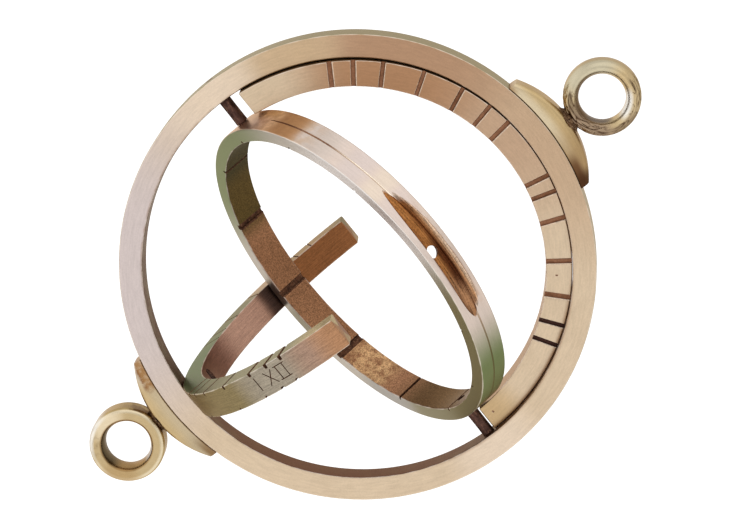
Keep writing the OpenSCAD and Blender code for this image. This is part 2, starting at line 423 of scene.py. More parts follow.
    def _edge_wear(self) -> bpy.types.NodeTree:
        """Builds the group that masks a band's rims for rubbed wear and a painted highlight, broken up
        unevenly.

        Returns:
            The group.
        """
        bench, start, end = new_tree(
            "edge_wear", {"Edge Distance": "value", "Vector": "vector", "Spread": "value"},
            {"Mask": "value"})
        uneven = bench.out("ShaderNodeTexNoise", {
            "Vector": start["Vector"], "Scale": 0.45, "Detail": 4.0})
        reach = bench.math("MULTIPLY", start["Spread"], bench.ramp(uneven, *self.RIM_REACH))
        mask = bench.ramp(start["Edge Distance"], 0.0, reach, 1.0, 0.0)
        return self._close(bench, end, {"Mask": mask})


@dataclass(frozen=True)
class Arc:
    """A stretch of a band with blurred ends, in degrees.

    Attributes:
        heading: Its middle.
        spread: Half of its length.
        soft: Half of the length of a blurred end.
    """

    heading: float
    spread: float
    soft: float

    def direction(self) -> tuple[float, float, float]:
        """Returns the unit vector that points at its middle."""
        return (math.cos(math.radians(self.heading)), 0.0, math.sin(math.radians(self.heading)))

    def cosine(self, step: float) -> float:
        """Returns the cosine of half of its length and a step, kept between none and half a turn."""
        return math.cos(math.radians(min(180.0, max(0.0, self.spread + step))))


@dataclass(frozen=True)
class Patch:
    """A tone laid over one side of a band.

    Attributes:
        wall: Side of the band.
        tone: Colour laid on.
        arc: Stretch of the band, or nothing for all round.
        amount: Share of the tone.
        dull: How far the patch takes away the metal's shine, 0 to 1.
        broken: Scale of the unevenness that breaks the patch up, or 0.
        axial: Places along the band's axis at which the patch is full and gone, or nothing.
        radial: Radii at which the patch is full and gone, or nothing.
    """

    wall: Wall
    tone: Tone
    arc: Optional[Arc] = None
    amount: float = 1.0
    dull: float = 0.0
    broken: float = 0.0
    axial: Optional[tuple[float, float]] = None
    radial: Optional[tuple[float, float]] = None


@dataclass(frozen=True)
class BandFinish:
    """Brushed metal on a band about an axis that the finish turns to Y.

    Attributes:
        name: Name of the material.
        band: Section of the band.
        tone: The metal's main colour.
        second: A second colour in cloudy patches.
        patches: Tones laid over it, in order.
        turn: Degrees about X, Y and Z that bring the band's axis to Y.
        centre: The band's centre in the dial's frame.
        along: Grain marks in each radian along the band.
        across: Grain marks in each millimetre across the band.
        streak: Strength of the grain in the colour.
        grit: Strength of the pitting of the inner wall in the colour.
        relief: Depth of the grain as relief, in millimetres.
        rough: Roughness of the bare metal.
        wear_and_highlight: Share of the bright tone on the rims, for rubbed wear and a painted highlight.
        wear_and_highlight_reach: Reach of the bright rims, in millimetres.
        scores: Name of a mesh attribute that darkens file marks, or nothing.
    """

    name: str
    band: Band
    tone: Tone
    second: Tone
    patches: tuple[Patch, ...] = ()
    turn: tuple[float, float, float] = (0.0, 0.0, 0.0)
    centre: tuple[float, float, float] = (0.0, 0.0, 0.0)
    along: float = 14.0
    across: float = 3.0
    streak: float = 0.13
    grit: float = 0.0
    relief: float = 0.02
    rough: float = 0.38
    wear_and_highlight: float = 0.6
    wear_and_highlight_reach: float = 0.24
    scores: str = ""

    # Sizes and limits of the unevenness, limits of the streaks' shade and roughness, change of roughness
    # in the grain, and what a dull patch comes to
    CLOUDS = {"Scale": 0.16, "Low": 0.35, "High": 0.68}
    PITTING = {"Scale": 4.6, "Low": 0.25, "High": 0.75}
    BREAKS = {"Low": 0.36, "High": 0.6}
    STREAK_LIMITS = (0.25, 0.75)
    ROUGH_LIMITS = (0.2, 0.8)
    ROUGH_SWING = 0.07
    DULL_METAL = 0.3
    DULL_ROUGH = 0.8
    BUMP = 0.6

    def build(self, effects: FinishEffects) -> bpy.types.Material:
        """Makes the material.

        Args:
            effects: The shared shader groups.

        Returns:
            The finished material.
        """
        material, bench = blank_material(self.name)
        local = bench.add("ShaderNodeTexCoord").outputs["Object"]
        place = bench.out("ShaderNodeMapping", {
            "Vector": local, "Location": tuple(-c for c in self.centre),
            "Rotation": tuple(math.radians(t) for t in self.turn),
            "Scale": (PER_METRE,) * 3})
        space = bench.group(effects.ring_space, {"Vector": place, "Along": self.along, "Across": self.across})
        sides = bench.group(effects.band_sides, {
            "Radius": space["Radius"], "Axial": space["Axial"],
            "Inner": self.band.inner, "Outer": self.band.outer, "Half Width": self.band.width / 2})
        clouds = bench.group(effects.mottle, {"Vector": place} | self.CLOUDS)
        colour = bench.mix(clouds[0], self.tone.linear(), self.second.linear())
        dulled = any(patch.dull > 0.0 for patch in self.patches)
        dull: Value = 0.0
        for patch in self.patches:
            mask = self._patch_mask(bench, effects, patch, place, space, sides)
            colour = bench.mix(mask, colour, patch.tone.linear())
            if dulled:
                dull = bench.blend(mask, dull, patch.dull)
        streaks = bench.group(effects.brushing, {"Grain": space["Grain"], "Vector": place})[0]
        shade = bench.ramp(streaks, *self.STREAK_LIMITS, 1.0 - self.streak, 1.0 + self.streak)
        if self.grit > 0.0:
            pits = bench.group(effects.mottle, {"Vector": place} | self.PITTING)
            depth = bench.ramp(pits[0], 0.0, 1.0, 1.0 - self.grit, 1.0 + self.grit)
            pitted = bench.blend(sides[Wall.INNER.value], 1.0, depth)
            shade = bench.math("MULTIPLY", shade, pitted)
        colour = bench.out("ShaderNodeHueSaturation", {"Value": shade, "Color": colour})
        # Rims lightened with the bright tone: partly rubbed wear, partly a painted highlight on the edges
        if self.wear_and_highlight > 0.0:
            rims = bench.group(effects.edge_wear, {
                "Edge Distance": sides["Edge Distance"], "Vector": place, "Spread": self.wear_and_highlight_reach})
            shine = bench.math("MULTIPLY", rims[0], self.wear_and_highlight)
            colour = bench.mix(shine, colour, BRIGHT_WEAR_AND_HIGHLIGHT.linear())
        if self.scores:
            scored = bench.add("ShaderNodeAttribute", attribute_name=self.scores).outputs["Fac"]
            colour = bench.mix(scored, colour, UMBER.linear())
        metal: Value = 1.0
        rough = bench.ramp(streaks, *self.ROUGH_LIMITS, self.rough - self.ROUGH_SWING,
                           self.rough + self.ROUGH_SWING)
        if dulled:
            metal = bench.blend(dull, 1.0, self.DULL_METAL)
            rough = bench.blend(dull, rough, self.DULL_ROUGH)
        add_metal(bench, colour, metal, rough, streaks, self.BUMP, self.relief)
        return material

    def _patch_mask(self, bench: NodeBench, effects: FinishEffects, patch: Patch,
                    place: bpy.types.NodeSocket, space: Sockets, sides: Sockets) -> Value:
        """Adds the nodes that mask one patch.

        Args:
            bench: The material's bench.
            effects: The shared shader groups.
            patch: The patch.
            place: Socket of the place in millimetres.
            space: Outputs of the material's ring_space group.
            sides: Outputs of its band_sides group.

        Returns:
            The mask's socket.
        """
        mask: Value = patch.amount
        if patch.wall is not Wall.ALL:
            mask = bench.math("MULTIPLY", sides[patch.wall.value], mask)
        if patch.arc:
            sector = bench.group(effects.sector, {
                "Direction": space["Direction"], "Heading": patch.arc.direction(),
                "Outer Cosine": patch.arc.cosine(patch.arc.soft),
                "Inner Cosine": patch.arc.cosine(-patch.arc.soft)})
            mask = bench.math("MULTIPLY", sector[0], mask)
        for output, limits in (("Axial", patch.axial), ("Radius", patch.radial)):
            if limits:
                full, gone = limits
                shares = (1.0, 0.0) if full < gone else (0.0, 1.0)
                fading = bench.ramp(space[output], min(limits), max(limits), *shares)
                mask = bench.math("MULTIPLY", fading, mask)
        if patch.broken > 0.0:
            uneven = bench.group(effects.mottle, {"Vector": place, "Scale": patch.broken} | self.BREAKS)
            mask = bench.math("MULTIPLY", uneven[0], mask)
        return mask


@dataclass(frozen=True)
class MottledFinish:
    """Dull metal in three tones, for saw cuts, solder and dark pins and screws.

    Attributes:
        name: Name of the material.
        low: Tone of the hollows.
        middle: Main tone.
        high: Tone of the rubbed grains.
        scale: Size of the unevenness, in marks a millimetre.
        stretch: Scale of the pattern along X, Y and Z.
        metallic: Share of metal in the surface.
        rough: Roughness.
        relief: Depth of the relief, in millimetres.
    """

    name: str
    low: Tone
    middle: Tone
    high: Tone
    scale: float = 1.6
    stretch: tuple[float, float, float] = (1.0, 1.0, 1.0)
    metallic: float = 0.5
    rough: float = 0.55
    relief: float = 0.05

    # Limits of the hollows and of the finer grains, and how much finer and smoother the grains are
    HOLLOWS = {"Low": 0.3, "High": 0.62}
    GRAINS = {"Low": 0.5, "High": 0.72}
    GRAIN_SCALE = 2.3
    HOLLOW_ROUGH = 0.08
    GRAIN_ROUGH = -0.1
    BUMP = 0.7

    def build(self, effects: FinishEffects) -> bpy.types.Material:
        """Makes the material.

        Args:
            effects: The shared shader groups.

        Returns:
            The finished material.
        """
        material, bench = blank_material(self.name)
        local = bench.add("ShaderNodeTexCoord").outputs["Object"]
        place = bench.out("ShaderNodeMapping", {
            "Vector": local, "Scale": tuple(PER_METRE * s for s in self.stretch)})
        hollows = bench.group(effects.mottle, {"Vector": place, "Scale": self.scale} | self.HOLLOWS)
        grains = bench.group(effects.mottle, {
            "Vector": place, "Scale": self.scale * self.GRAIN_SCALE} | self.GRAINS)
        colour = bench.mix(hollows[0], self.low.linear(), self.middle.linear())
        colour = bench.mix(grains[0], colour, self.high.linear())
        rough = bench.ramp(grains[0], 0.0, 1.0, self.rough + self.HOLLOW_ROUGH,
                           self.rough + self.GRAIN_ROUGH)
        add_metal(bench, colour, self.metallic, rough, hollows[0], self.BUMP, self.relief)
        return material


class Finishes:
    """Every material of the dial, made from its finish."""

    def __init__(self, effects: FinishEffects) -> None:
        """Builds the materials.

        Args:
            effects: The shared shader groups.
        """
        self.meridian = self._meridian().build(effects)
        self.calendar = self._calendar().build(effects)
        self.calendar_cut = self._calendar_cut().build(effects)
        self.hour = self._hour().build(effects)
        self.sight = self._sight().build(effects)
        self.groove = self._groove().build(effects)
        self.scoop = self._scoop().build(effects)
        self.saddles = {side: self._saddle(side).build(effects) for side in Side}
        self.eyes = {side: self._eye(side).build(effects) for side in Side}
        self.saw_cut = MottledFinish(
            "saw_cut_patina", Tone(58, 38, 30), Tone(106, 70, 50), Tone(142, 106, 80),
            scale=1.1, metallic=0.6, rough=0.6).build(effects)
        self.dark_bronze = MottledFinish(
            "dark_bronze", Tone(56, 38, 34), Tone(104, 75, 66), Tone(142, 104, 84),
            scale=0.8, stretch=(0.5, 1.0, 1.0), metallic=0.8).build(effects)
        self.solder = MottledFinish(
            "brown_solder", Tone(60, 42, 34), Tone(124, 94, 68), Tone(176, 148, 114),
            scale=1.4, metallic=0.8).build(effects)

    @staticmethod
    def _meridian() -> BandFinish:
        """Gives the brushed bronze of the meridian ring, with painted reflection in its faces' tone.

        Returns:
            The finish.
        """
        patches = (
            # The first six patches are painted reflection of a brushed ring in the faces' tone, by heading:
            # darker and warmer near the top, cream at the sides and pale lilac low on the left
            Patch(Wall.FACES, Tone(183, 154, 125), Arc(104, 30, 28), amount=0.9),
            Patch(Wall.FACES, TAN, Arc(129, 10, 22)),
            Patch(Wall.FACES, Tone(189, 162, 129), Arc(158, 5, 10), amount=0.9),
            Patch(Wall.FACES, CREAM_SHEEN, Arc(183, 5, 12), amount=0.8),
            Patch(Wall.FACES, CREAM_SHEEN, Arc(0, 3, 12), amount=0.8),
            Patch(Wall.FACES, LILAC_REFLECTION, Arc(233, 26, 24)),
            Patch(Wall.FACES, BROWN, Arc(205, 34, 14), amount=0.7, broken=0.5, radial=(36.0, 36.5)),
            Patch(Wall.FACES, BROWN, Arc(18, 30, 12), amount=0.5, radial=(36.0, 36.6)),
            Patch(Wall.OUTER, Tone(172, 158, 126), amount=0.9),
            Patch(Wall.OUTER, OLIVE, Arc(150, 60, 30), amount=0.5),
            Patch(Wall.INNER, Tone(104, 86, 64)),
            Patch(Wall.INNER, RED_BROWN, amount=0.8, dull=0.2, broken=0.3),
            Patch(Wall.INNER, Tone(104, 62, 46), Arc(318, 34, 14), amount=0.8),
            Patch(Wall.INNER, Tone(136, 106, 76), Arc(90, 82, 8), amount=0.9),
        )
        return BandFinish("brushed_meridian", MERIDIAN, SAND, BEIGE, patches)

    @staticmethod
    def _calendar() -> BandFinish:
        """Gives the brushed bronze of the calendar arc, with painted reflection in its faces' tone.

        Returns:
            The finish.
        """
        patches = (
            # The first three patches are painted reflection of the brushed faces, by heading, as on the
            # meridian ring
            Patch(Wall.FACES, Tone(180, 149, 122), Arc(108, 26, 22), amount=0.9),
            Patch(Wall.FACES, COPPER_SHEEN, Arc(133, 14, 18)),
            Patch(Wall.FACES, Tone(182, 152, 108), Arc(2, 6, 8), amount=0.8),
            Patch(Wall.FACES, BROWN, Arc(16, 26, 10), amount=0.75, radial=(35.8, 35.1)),
            Patch(Wall.OUTER, Tone(126, 104, 74), amount=0.9),
            Patch(Wall.INNER, TAN, amount=0.7),
        )
        return BandFinish("brushed_calendar", CALENDAR, SAND, BEIGE, patches,
                          turn=(0.0, 0.0, -CALENDAR_SWING))

    @staticmethod
    def _calendar_cut() -> BandFinish:
        """Gives the brown patina of the calendar marks, with painted highlights on their rims.

        Returns:
            The finish.
        """
        patches = (
            Patch(Wall.ALL, Tone(66, 44, 38), Arc(33, 7, 3)),
            # Painted highlights on the rims of the marks at both faces
            Patch(Wall.ALL, CREAM_SHEEN, amount=0.9, axial=(-2.46, -2.3)),
            Patch(Wall.ALL, CREAM_SHEEN, amount=0.9, axial=(2.46, 2.3)),
        )
        return BandFinish("calendar_cut_patina", CALENDAR, Tone(150, 108, 82), Tone(126, 86, 62), patches,
                          turn=(0.0, 0.0, -CALENDAR_SWING), along=60.0, across=1.2, streak=0.4, wear_and_highlight=0.0,
                          rough=0.55)

    @staticmethod
    def _hour() -> BandFinish:
        """Gives the brushed and stained bronze of the hour arc, with a painted green reflection low on its
        faces and a painted shadow where the sight ring crosses its inner wall.

        Returns:
            The finish.
        """
        patches = (
            Patch(Wall.FACES, Tone(150, 150, 122), Arc(205, 14, 18), amount=0.8),
            Patch(Wall.FACES, Tone(196, 180, 142), Arc(181, 9, 9), amount=0.9),
            Patch(Wall.FACES, Tone(190, 162, 136), Arc(325, 7, 5), amount=0.8),
            Patch(Wall.FACES, Tone(156, 124, 84), Arc(342, 9, 5), amount=0.8),
            # Painted reflection of green surroundings on the faces, low on the arc round 270°
            Patch(Wall.FACES, Tone(80, 108, 74), Arc(270, 20, 16), amount=0.95),
            Patch(Wall.NEAR, Tone(168, 143, 111), amount=0.85),
            Patch(Wall.OUTER, Tone(126, 112, 80)),
            Patch(Wall.OUTER, Tone(150, 122, 90), Arc(330, 60, 14), amount=0.85),
            Patch(Wall.OUTER, Tone(148, 138, 122), Arc(205, 9, 8)),
            Patch(Wall.OUTER, Tone(154, 126, 108), Arc(186, 11, 5)),
            Patch(Wall.OUTER, Tone(164, 122, 90), Arc(180, 8, 5)),
            Patch(Wall.INNER, Tone(150, 113, 96)),
            Patch(Wall.INNER, Tone(176, 138, 118), Arc(308, 14, 8), amount=0.9),
            # Painted shadow where the sight ring passes over the inner wall
            Patch(Wall.INNER, Tone(58, 44, 42), Arc(321, 4.4, 2.6), amount=0.9),
            Patch(Wall.INNER, Tone(120, 84, 70), Arc(274, 9, 15)),
            Patch(Wall.INNER, Tone(134, 87, 53), Arc(350, 23, 4)),
        )
        return BandFinish("brushed_hour", HOUR, OLIVE, Tone(112, 112, 84), patches,
                          turn=(0.0, 0.0, -HOUR_SWING), along=10.0, across=6.0, streak=0.42)

    @staticmethod
    def _sight() -> BandFinish:
        """Gives the bright outer wall with painted sheen and reflection, the stained faces with painted
        reflections, and the dark, pitted inner wall of the sight ring.

        Returns:
            The finish.
        """
        patches = (
            # The first five patches paint the sheen of the brushed outer wall between about 100° and 136°: a
            # warm highlight near 112° with pale lilac painted reflection beside it
            Patch(Wall.OUTER, Tone(205, 188, 176), Arc(116, 9, 9), amount=0.9),
            Patch(Wall.OUTER, Tone(198, 184, 178), Arc(122, 2.5, 3.5), amount=0.7),
            Patch(Wall.OUTER, Tone(209, 193, 176), Arc(112.5, 1.5, 3), amount=0.9),
            Patch(Wall.OUTER, Tone(200, 184, 176), Arc(103, 2.5, 4), amount=0.7),
            Patch(Wall.OUTER, Tone(202, 188, 177), Arc(136, 3, 5), amount=0.7),
            Patch(Wall.OUTER, Tone(196, 180, 168), Arc(66, 8, 10), amount=0.8),
            # Painted reflection of green surroundings on the outer wall round 17°
            Patch(Wall.OUTER, Tone(110, 123, 80), Arc(17, 34, 11), dull=0.2),
            Patch(Wall.OUTER, Tone(104, 84, 50), Arc(3, 15, 6), amount=0.9, dull=0.2),
            Patch(Wall.OUTER, Tone(154, 130, 98), Arc(272, 84, 8), amount=0.9),
            Patch(Wall.OUTER, Tone(196, 166, 136), Arc(180, 40, 5), amount=0.7, broken=0.5),
            Patch(Wall.OUTER, Tone(212, 170, 130), Arc(180, 34, 2.2), dull=0.6),
            Patch(Wall.OUTER, Tone(164, 118, 76), Arc(151, 4, 4), amount=0.8),
            Patch(Wall.OUTER, Tone(222, 182, 136), Arc(166, 5, 6), amount=0.8, axial=(1.6, -0.2)),
            Patch(Wall.OUTER, Tone(206, 176, 160), Arc(176, 12, 6), amount=0.9, axial=(-0.8, 1.8)),
            Patch(Wall.OUTER, Tone(126, 86, 60), Arc(163, 12, 6), amount=0.3, broken=0.9),
            Patch(Wall.OUTER, Tone(228, 192, 160), Arc(180, 7, 6), amount=0.7),
            Patch(Wall.OUTER, Tone(112, 66, 46), Arc(79, 5.5, 2.4), amount=0.85, axial=(-1.4, -2.0)),
            Patch(Wall.OUTER, Tone(170, 128, 92), Arc(83, 17, 5), amount=0.6, broken=0.6, axial=(1.7, 1.0)),
            Patch(Wall.OUTER, Tone(205, 188, 175), Arc(83, 20, 5), amount=0.92, axial=(2.25, 1.6)),
            Patch(Wall.FACES, Tone(178, 172, 163)),
            # Painted reflection, pale grey, on the near face round 114°
            Patch(Wall.NEAR, Tone(218, 213, 211), Arc(114, 22, 16), amount=0.9),
            Patch(Wall.FACES, Tone(114, 106, 74), Arc(34, 44, 12), dull=0.15),
            Patch(Wall.FACES, Tone(122, 118, 95), Arc(346, 12, 9), amount=0.9),
            Patch(Wall.FACES, Tone(152, 151, 148), Arc(322, 6, 10), amount=0.8),
            # Painted reflection of green surroundings on the faces round 202°
            Patch(Wall.FACES, Tone(122, 131, 97), Arc(202, 34, 18), dull=0.15),
            Patch(Wall.FACES, Tone(126, 122, 106), Arc(281, 4, 7), amount=0.9),
            Patch(Wall.FAR, Tone(184, 164, 138), amount=0.8),
            Patch(Wall.INNER, Tone(136, 97, 69)),
            Patch(Wall.INNER, Tone(194, 155, 112), Arc(309, 7, 7), amount=0.9, broken=0.8),
            Patch(Wall.INNER, Tone(156, 113, 84), Arc(326, 4, 6), amount=0.8),
            Patch(Wall.INNER, Tone(104, 80, 56), Arc(350, 20, 9)),
            Patch(Wall.INNER, Tone(76, 66, 37), Arc(203, 35.5, 1.4), dull=1.0),
            Patch(Wall.INNER, Tone(102, 82, 42), Arc(228, 9, 9), dull=1.0),
            Patch(Wall.INNER, Tone(40, 34, 16), Arc(170, 8, 3), dull=1.0),
        )
        return BandFinish("brushed_sight", SIGHT, Tone(206, 189, 177), Tone(212, 196, 186), patches,
                          turn=(-SIGHT_TILT, 0.0, 0.0), rough=0.34, grit=0.42, streak=0.1, relief=0.003,
                          along=9.0, across=2.0)

    @staticmethod
    def _groove() -> BandFinish:
        """Gives the stain in the groove round the sight ring, with a painted highlight along its far side.

        Returns:
            The finish.
        """
        patches = (
            Patch(Wall.ALL, Tone(150, 112, 84), Arc(168, 34, 8), amount=0.9),
            Patch(Wall.ALL, Tone(84, 52, 36), Arc(156, 8, 3), amount=0.9),
            Patch(Wall.ALL, Tone(236, 200, 162), Arc(178, 10, 4), amount=0.9),
            Patch(Wall.ALL, Tone(100, 62, 44), Arc(140, 7, 3), amount=0.9, broken=0.5),
            # Painted highlight along the far side of the groove, round 113°
            Patch(Wall.ALL, Tone(252, 240, 222), Arc(113, 12, 8), axial=(0.08, 0.0)),
            Patch(Wall.ALL, Tone(98, 92, 60), Arc(15, 40, 10)),
            Patch(Wall.ALL, Tone(110, 86, 60), Arc(272, 80, 8)),
        )
        return BandFinish("groove_stain", SIGHT, Tone(188, 166, 146), Tone(170, 144, 122), patches,
                          turn=(-SIGHT_TILT, 0.0, 0.0), wear_and_highlight=0.0)

    @staticmethod
    def _scoop() -> BandFinish:
        """Gives the burnt orange of the scoop, darkest beside the pinhole, fading on the far side.

        Returns:
            The finish.
        """
        patches = (
            Patch(Wall.ALL, Tone(104, 62, 34), amount=0.9, axial=(0.6, 0.0)),
            Patch(Wall.ALL, Tone(142, 106, 78), Arc(67, 9, 5), amount=0.8),
            Patch(Wall.ALL, Tone(72, 36, 18), Arc(81, 7, 5), amount=0.9, axial=(0.2, -0.7)),
            Patch(Wall.ALL, Tone(170, 126, 88), amount=0.8, axial=(1.4, 0.8)),
            Patch(Wall.ALL, Tone(204, 180, 156), amount=0.9, axial=(1.9, 1.2)),
            Patch(Wall.ALL, Tone(206, 186, 168), amount=0.9, radial=(30.99, 30.8)),
        )
        return BandFinish("scoop_patina", SIGHT, Tone(166, 112, 64), Tone(146, 94, 50), patches,
                          turn=(-SIGHT_TILT, 0.0, 0.0), along=7.0, across=4.2, streak=0.9, wear_and_highlight=0.0,
                          rough=0.45)

    @staticmethod
    def _saddle(side: Side) -> BandFinish:
        """Gives the filed brass of a saddle, with a painted highlight on the lower saddle's left edge.

        Args:
            side: End of the loop axis.

        Returns:
            The finish.
        """
        if side is Side.UPPER:
            patches = (
                Patch(Wall.ALL, PALE_BRASS, amount=0.9, radial=(40.6, 42.2)),
                Patch(Wall.ALL, Tone(160, 131, 92), Arc(71, 15.5, 7), amount=0.9),
                Patch(Wall.ALL, Tone(96, 64, 40), Arc(70, 12.4, 2.4), amount=0.92, radial=(40.8, 42.2)),
                Patch(Wall.ALL, Tone(72, 46, 28), Arc(70, 8.4, 1.8), amount=0.92),
                Patch(Wall.ALL, Tone(150, 114, 72), Arc(106, 2, 2.2), amount=0.8, radial=(40.0, 41.4)),
            )
        else:
            patches = (
                Patch(Wall.ALL, Tone(184, 167, 138), amount=0.9, radial=(40.4, 43.0)),
                # Painted highlight on the left edge round 254°
                Patch(Wall.ALL, Tone(200, 188, 172), Arc(254, 5, 4), amount=0.8),
                Patch(Wall.ALL, Tone(166, 150, 124), Arc(286, 6, 5), amount=0.7),
                Patch(Wall.ALL, Tone(128, 86, 52), Arc(259, 3.6, 1.6), broken=1.1, radial=(41.3, 42.1)),
                Patch(Wall.ALL, Tone(166, 128, 84), Arc(258, 4, 2), amount=0.6, radial=(41.0, 41.6)),
                Patch(Wall.ALL, Tone(124, 94, 60), Arc(290, 9, 3.5), amount=0.9, radial=(40.7, 41.6)),
            )
        rim = Patch(Wall.ALL, BROWN, amount=0.7, radial=(40.05, 40.2))
        return BandFinish("saddle_brass_" + side.name.lower(), SADDLE, Tone(190, 165, 122),
                          Tone(182, 158, 115), patches=(*patches, rim),
                          turn=(0.0, -LEAN[side] * side.value, 0.0), wear_and_highlight=0.15, streak=0.1, rough=0.36)

    @staticmethod
    def _eye(side: Side) -> BandFinish:
        """Gives the polished brass of an eye, with painted highlights, reflections and shade on its face and
        round its bore.

        Args:
            side: End of the loop axis.

        Returns:
            The finish.
        """
        if side is Side.UPPER:
            patches = (
                Patch(Wall.ALL, Tone(176, 156, 118), amount=0.8, radial=(6.5, 5.9)),
                Patch(Wall.ALL, Tone(188, 180, 156), Arc(172, 48, 20), amount=0.85, radial=(6.2, 6.6)),
                Patch(Wall.ALL, Tone(140, 120, 94), Arc(0, 26, 18), amount=0.85, radial=(5.4, 5.0)),
                Patch(Wall.ALL, Tone(138, 116, 100), Arc(296, 40, 22), amount=0.75),
                # Painted dark reflection inside the bore on the lower left, and a painted highlight on the
                # right of the bore
                Patch(Wall.ALL, Tone(86, 66, 48), Arc(226, 66, 30), amount=0.9, radial=(4.1, 4.9)),
                Patch(Wall.ALL, Tone(222, 219, 212), Arc(42, 26, 13), amount=0.95, radial=(4.6, 5.4)),
                Patch(Wall.ALL, Tone(96, 92, 90), Arc(316, 26, 14), amount=0.85, radial=(3.95, 4.3)),
            )
        else:
            patches = (
                Patch(Wall.ALL, Tone(170, 146, 100), amount=0.9, radial=(6.45, 6.1)),
                Patch(Wall.FACES, Tone(210, 195, 165), amount=0.9),
                Patch(Wall.FACES, Tone(178, 155, 114), amount=0.9, radial=(5.55, 6.0)),
                # Painted reflection across the face: lighter on the left, darker low on the right
                Patch(Wall.FACES, Tone(218, 202, 172), Arc(186, 22, 24), amount=0.8),
                Patch(Wall.FACES, Tone(168, 138, 94), Arc(310, 22, 22), amount=0.7),
                # Painted highlight on the left of the rim
                Patch(Wall.ALL, Tone(226, 222, 214), Arc(216, 26, 18), amount=0.85, radial=(6.1, 5.5)),
                Patch(Wall.OUTER, Tone(96, 72, 56), Arc(100, 34, 26), amount=0.9, broken=0.5),
                Patch(Wall.ALL, Tone(146, 112, 68), amount=0.85, radial=(4.45, 4.75)),
                # Painted shade in the bore's flare on the lower left, and a painted reflection on the right
                # of the bore
                Patch(Wall.ALL, Tone(84, 74, 56), Arc(238, 56, 18), amount=0.95, radial=(4.3, 4.6)),
                Patch(Wall.ALL, Tone(196, 192, 188), Arc(36, 16, 14), amount=0.85, radial=(4.2, 4.5)),
            )
        return BandFinish("eye_brass_" + side.name.lower(), EYE, Tone(190, 167, 126),
                          Tone(198, 178, 140), patches=patches, turn=(0.0, -LEAN[side] * side.value, 0.0),
                          centre=(0.0, 0.0, EYE_HEIGHT * side.value), along=5.0, wear_and_highlight=0.0, streak=0.1,
                          rough=0.3, scores="scored")


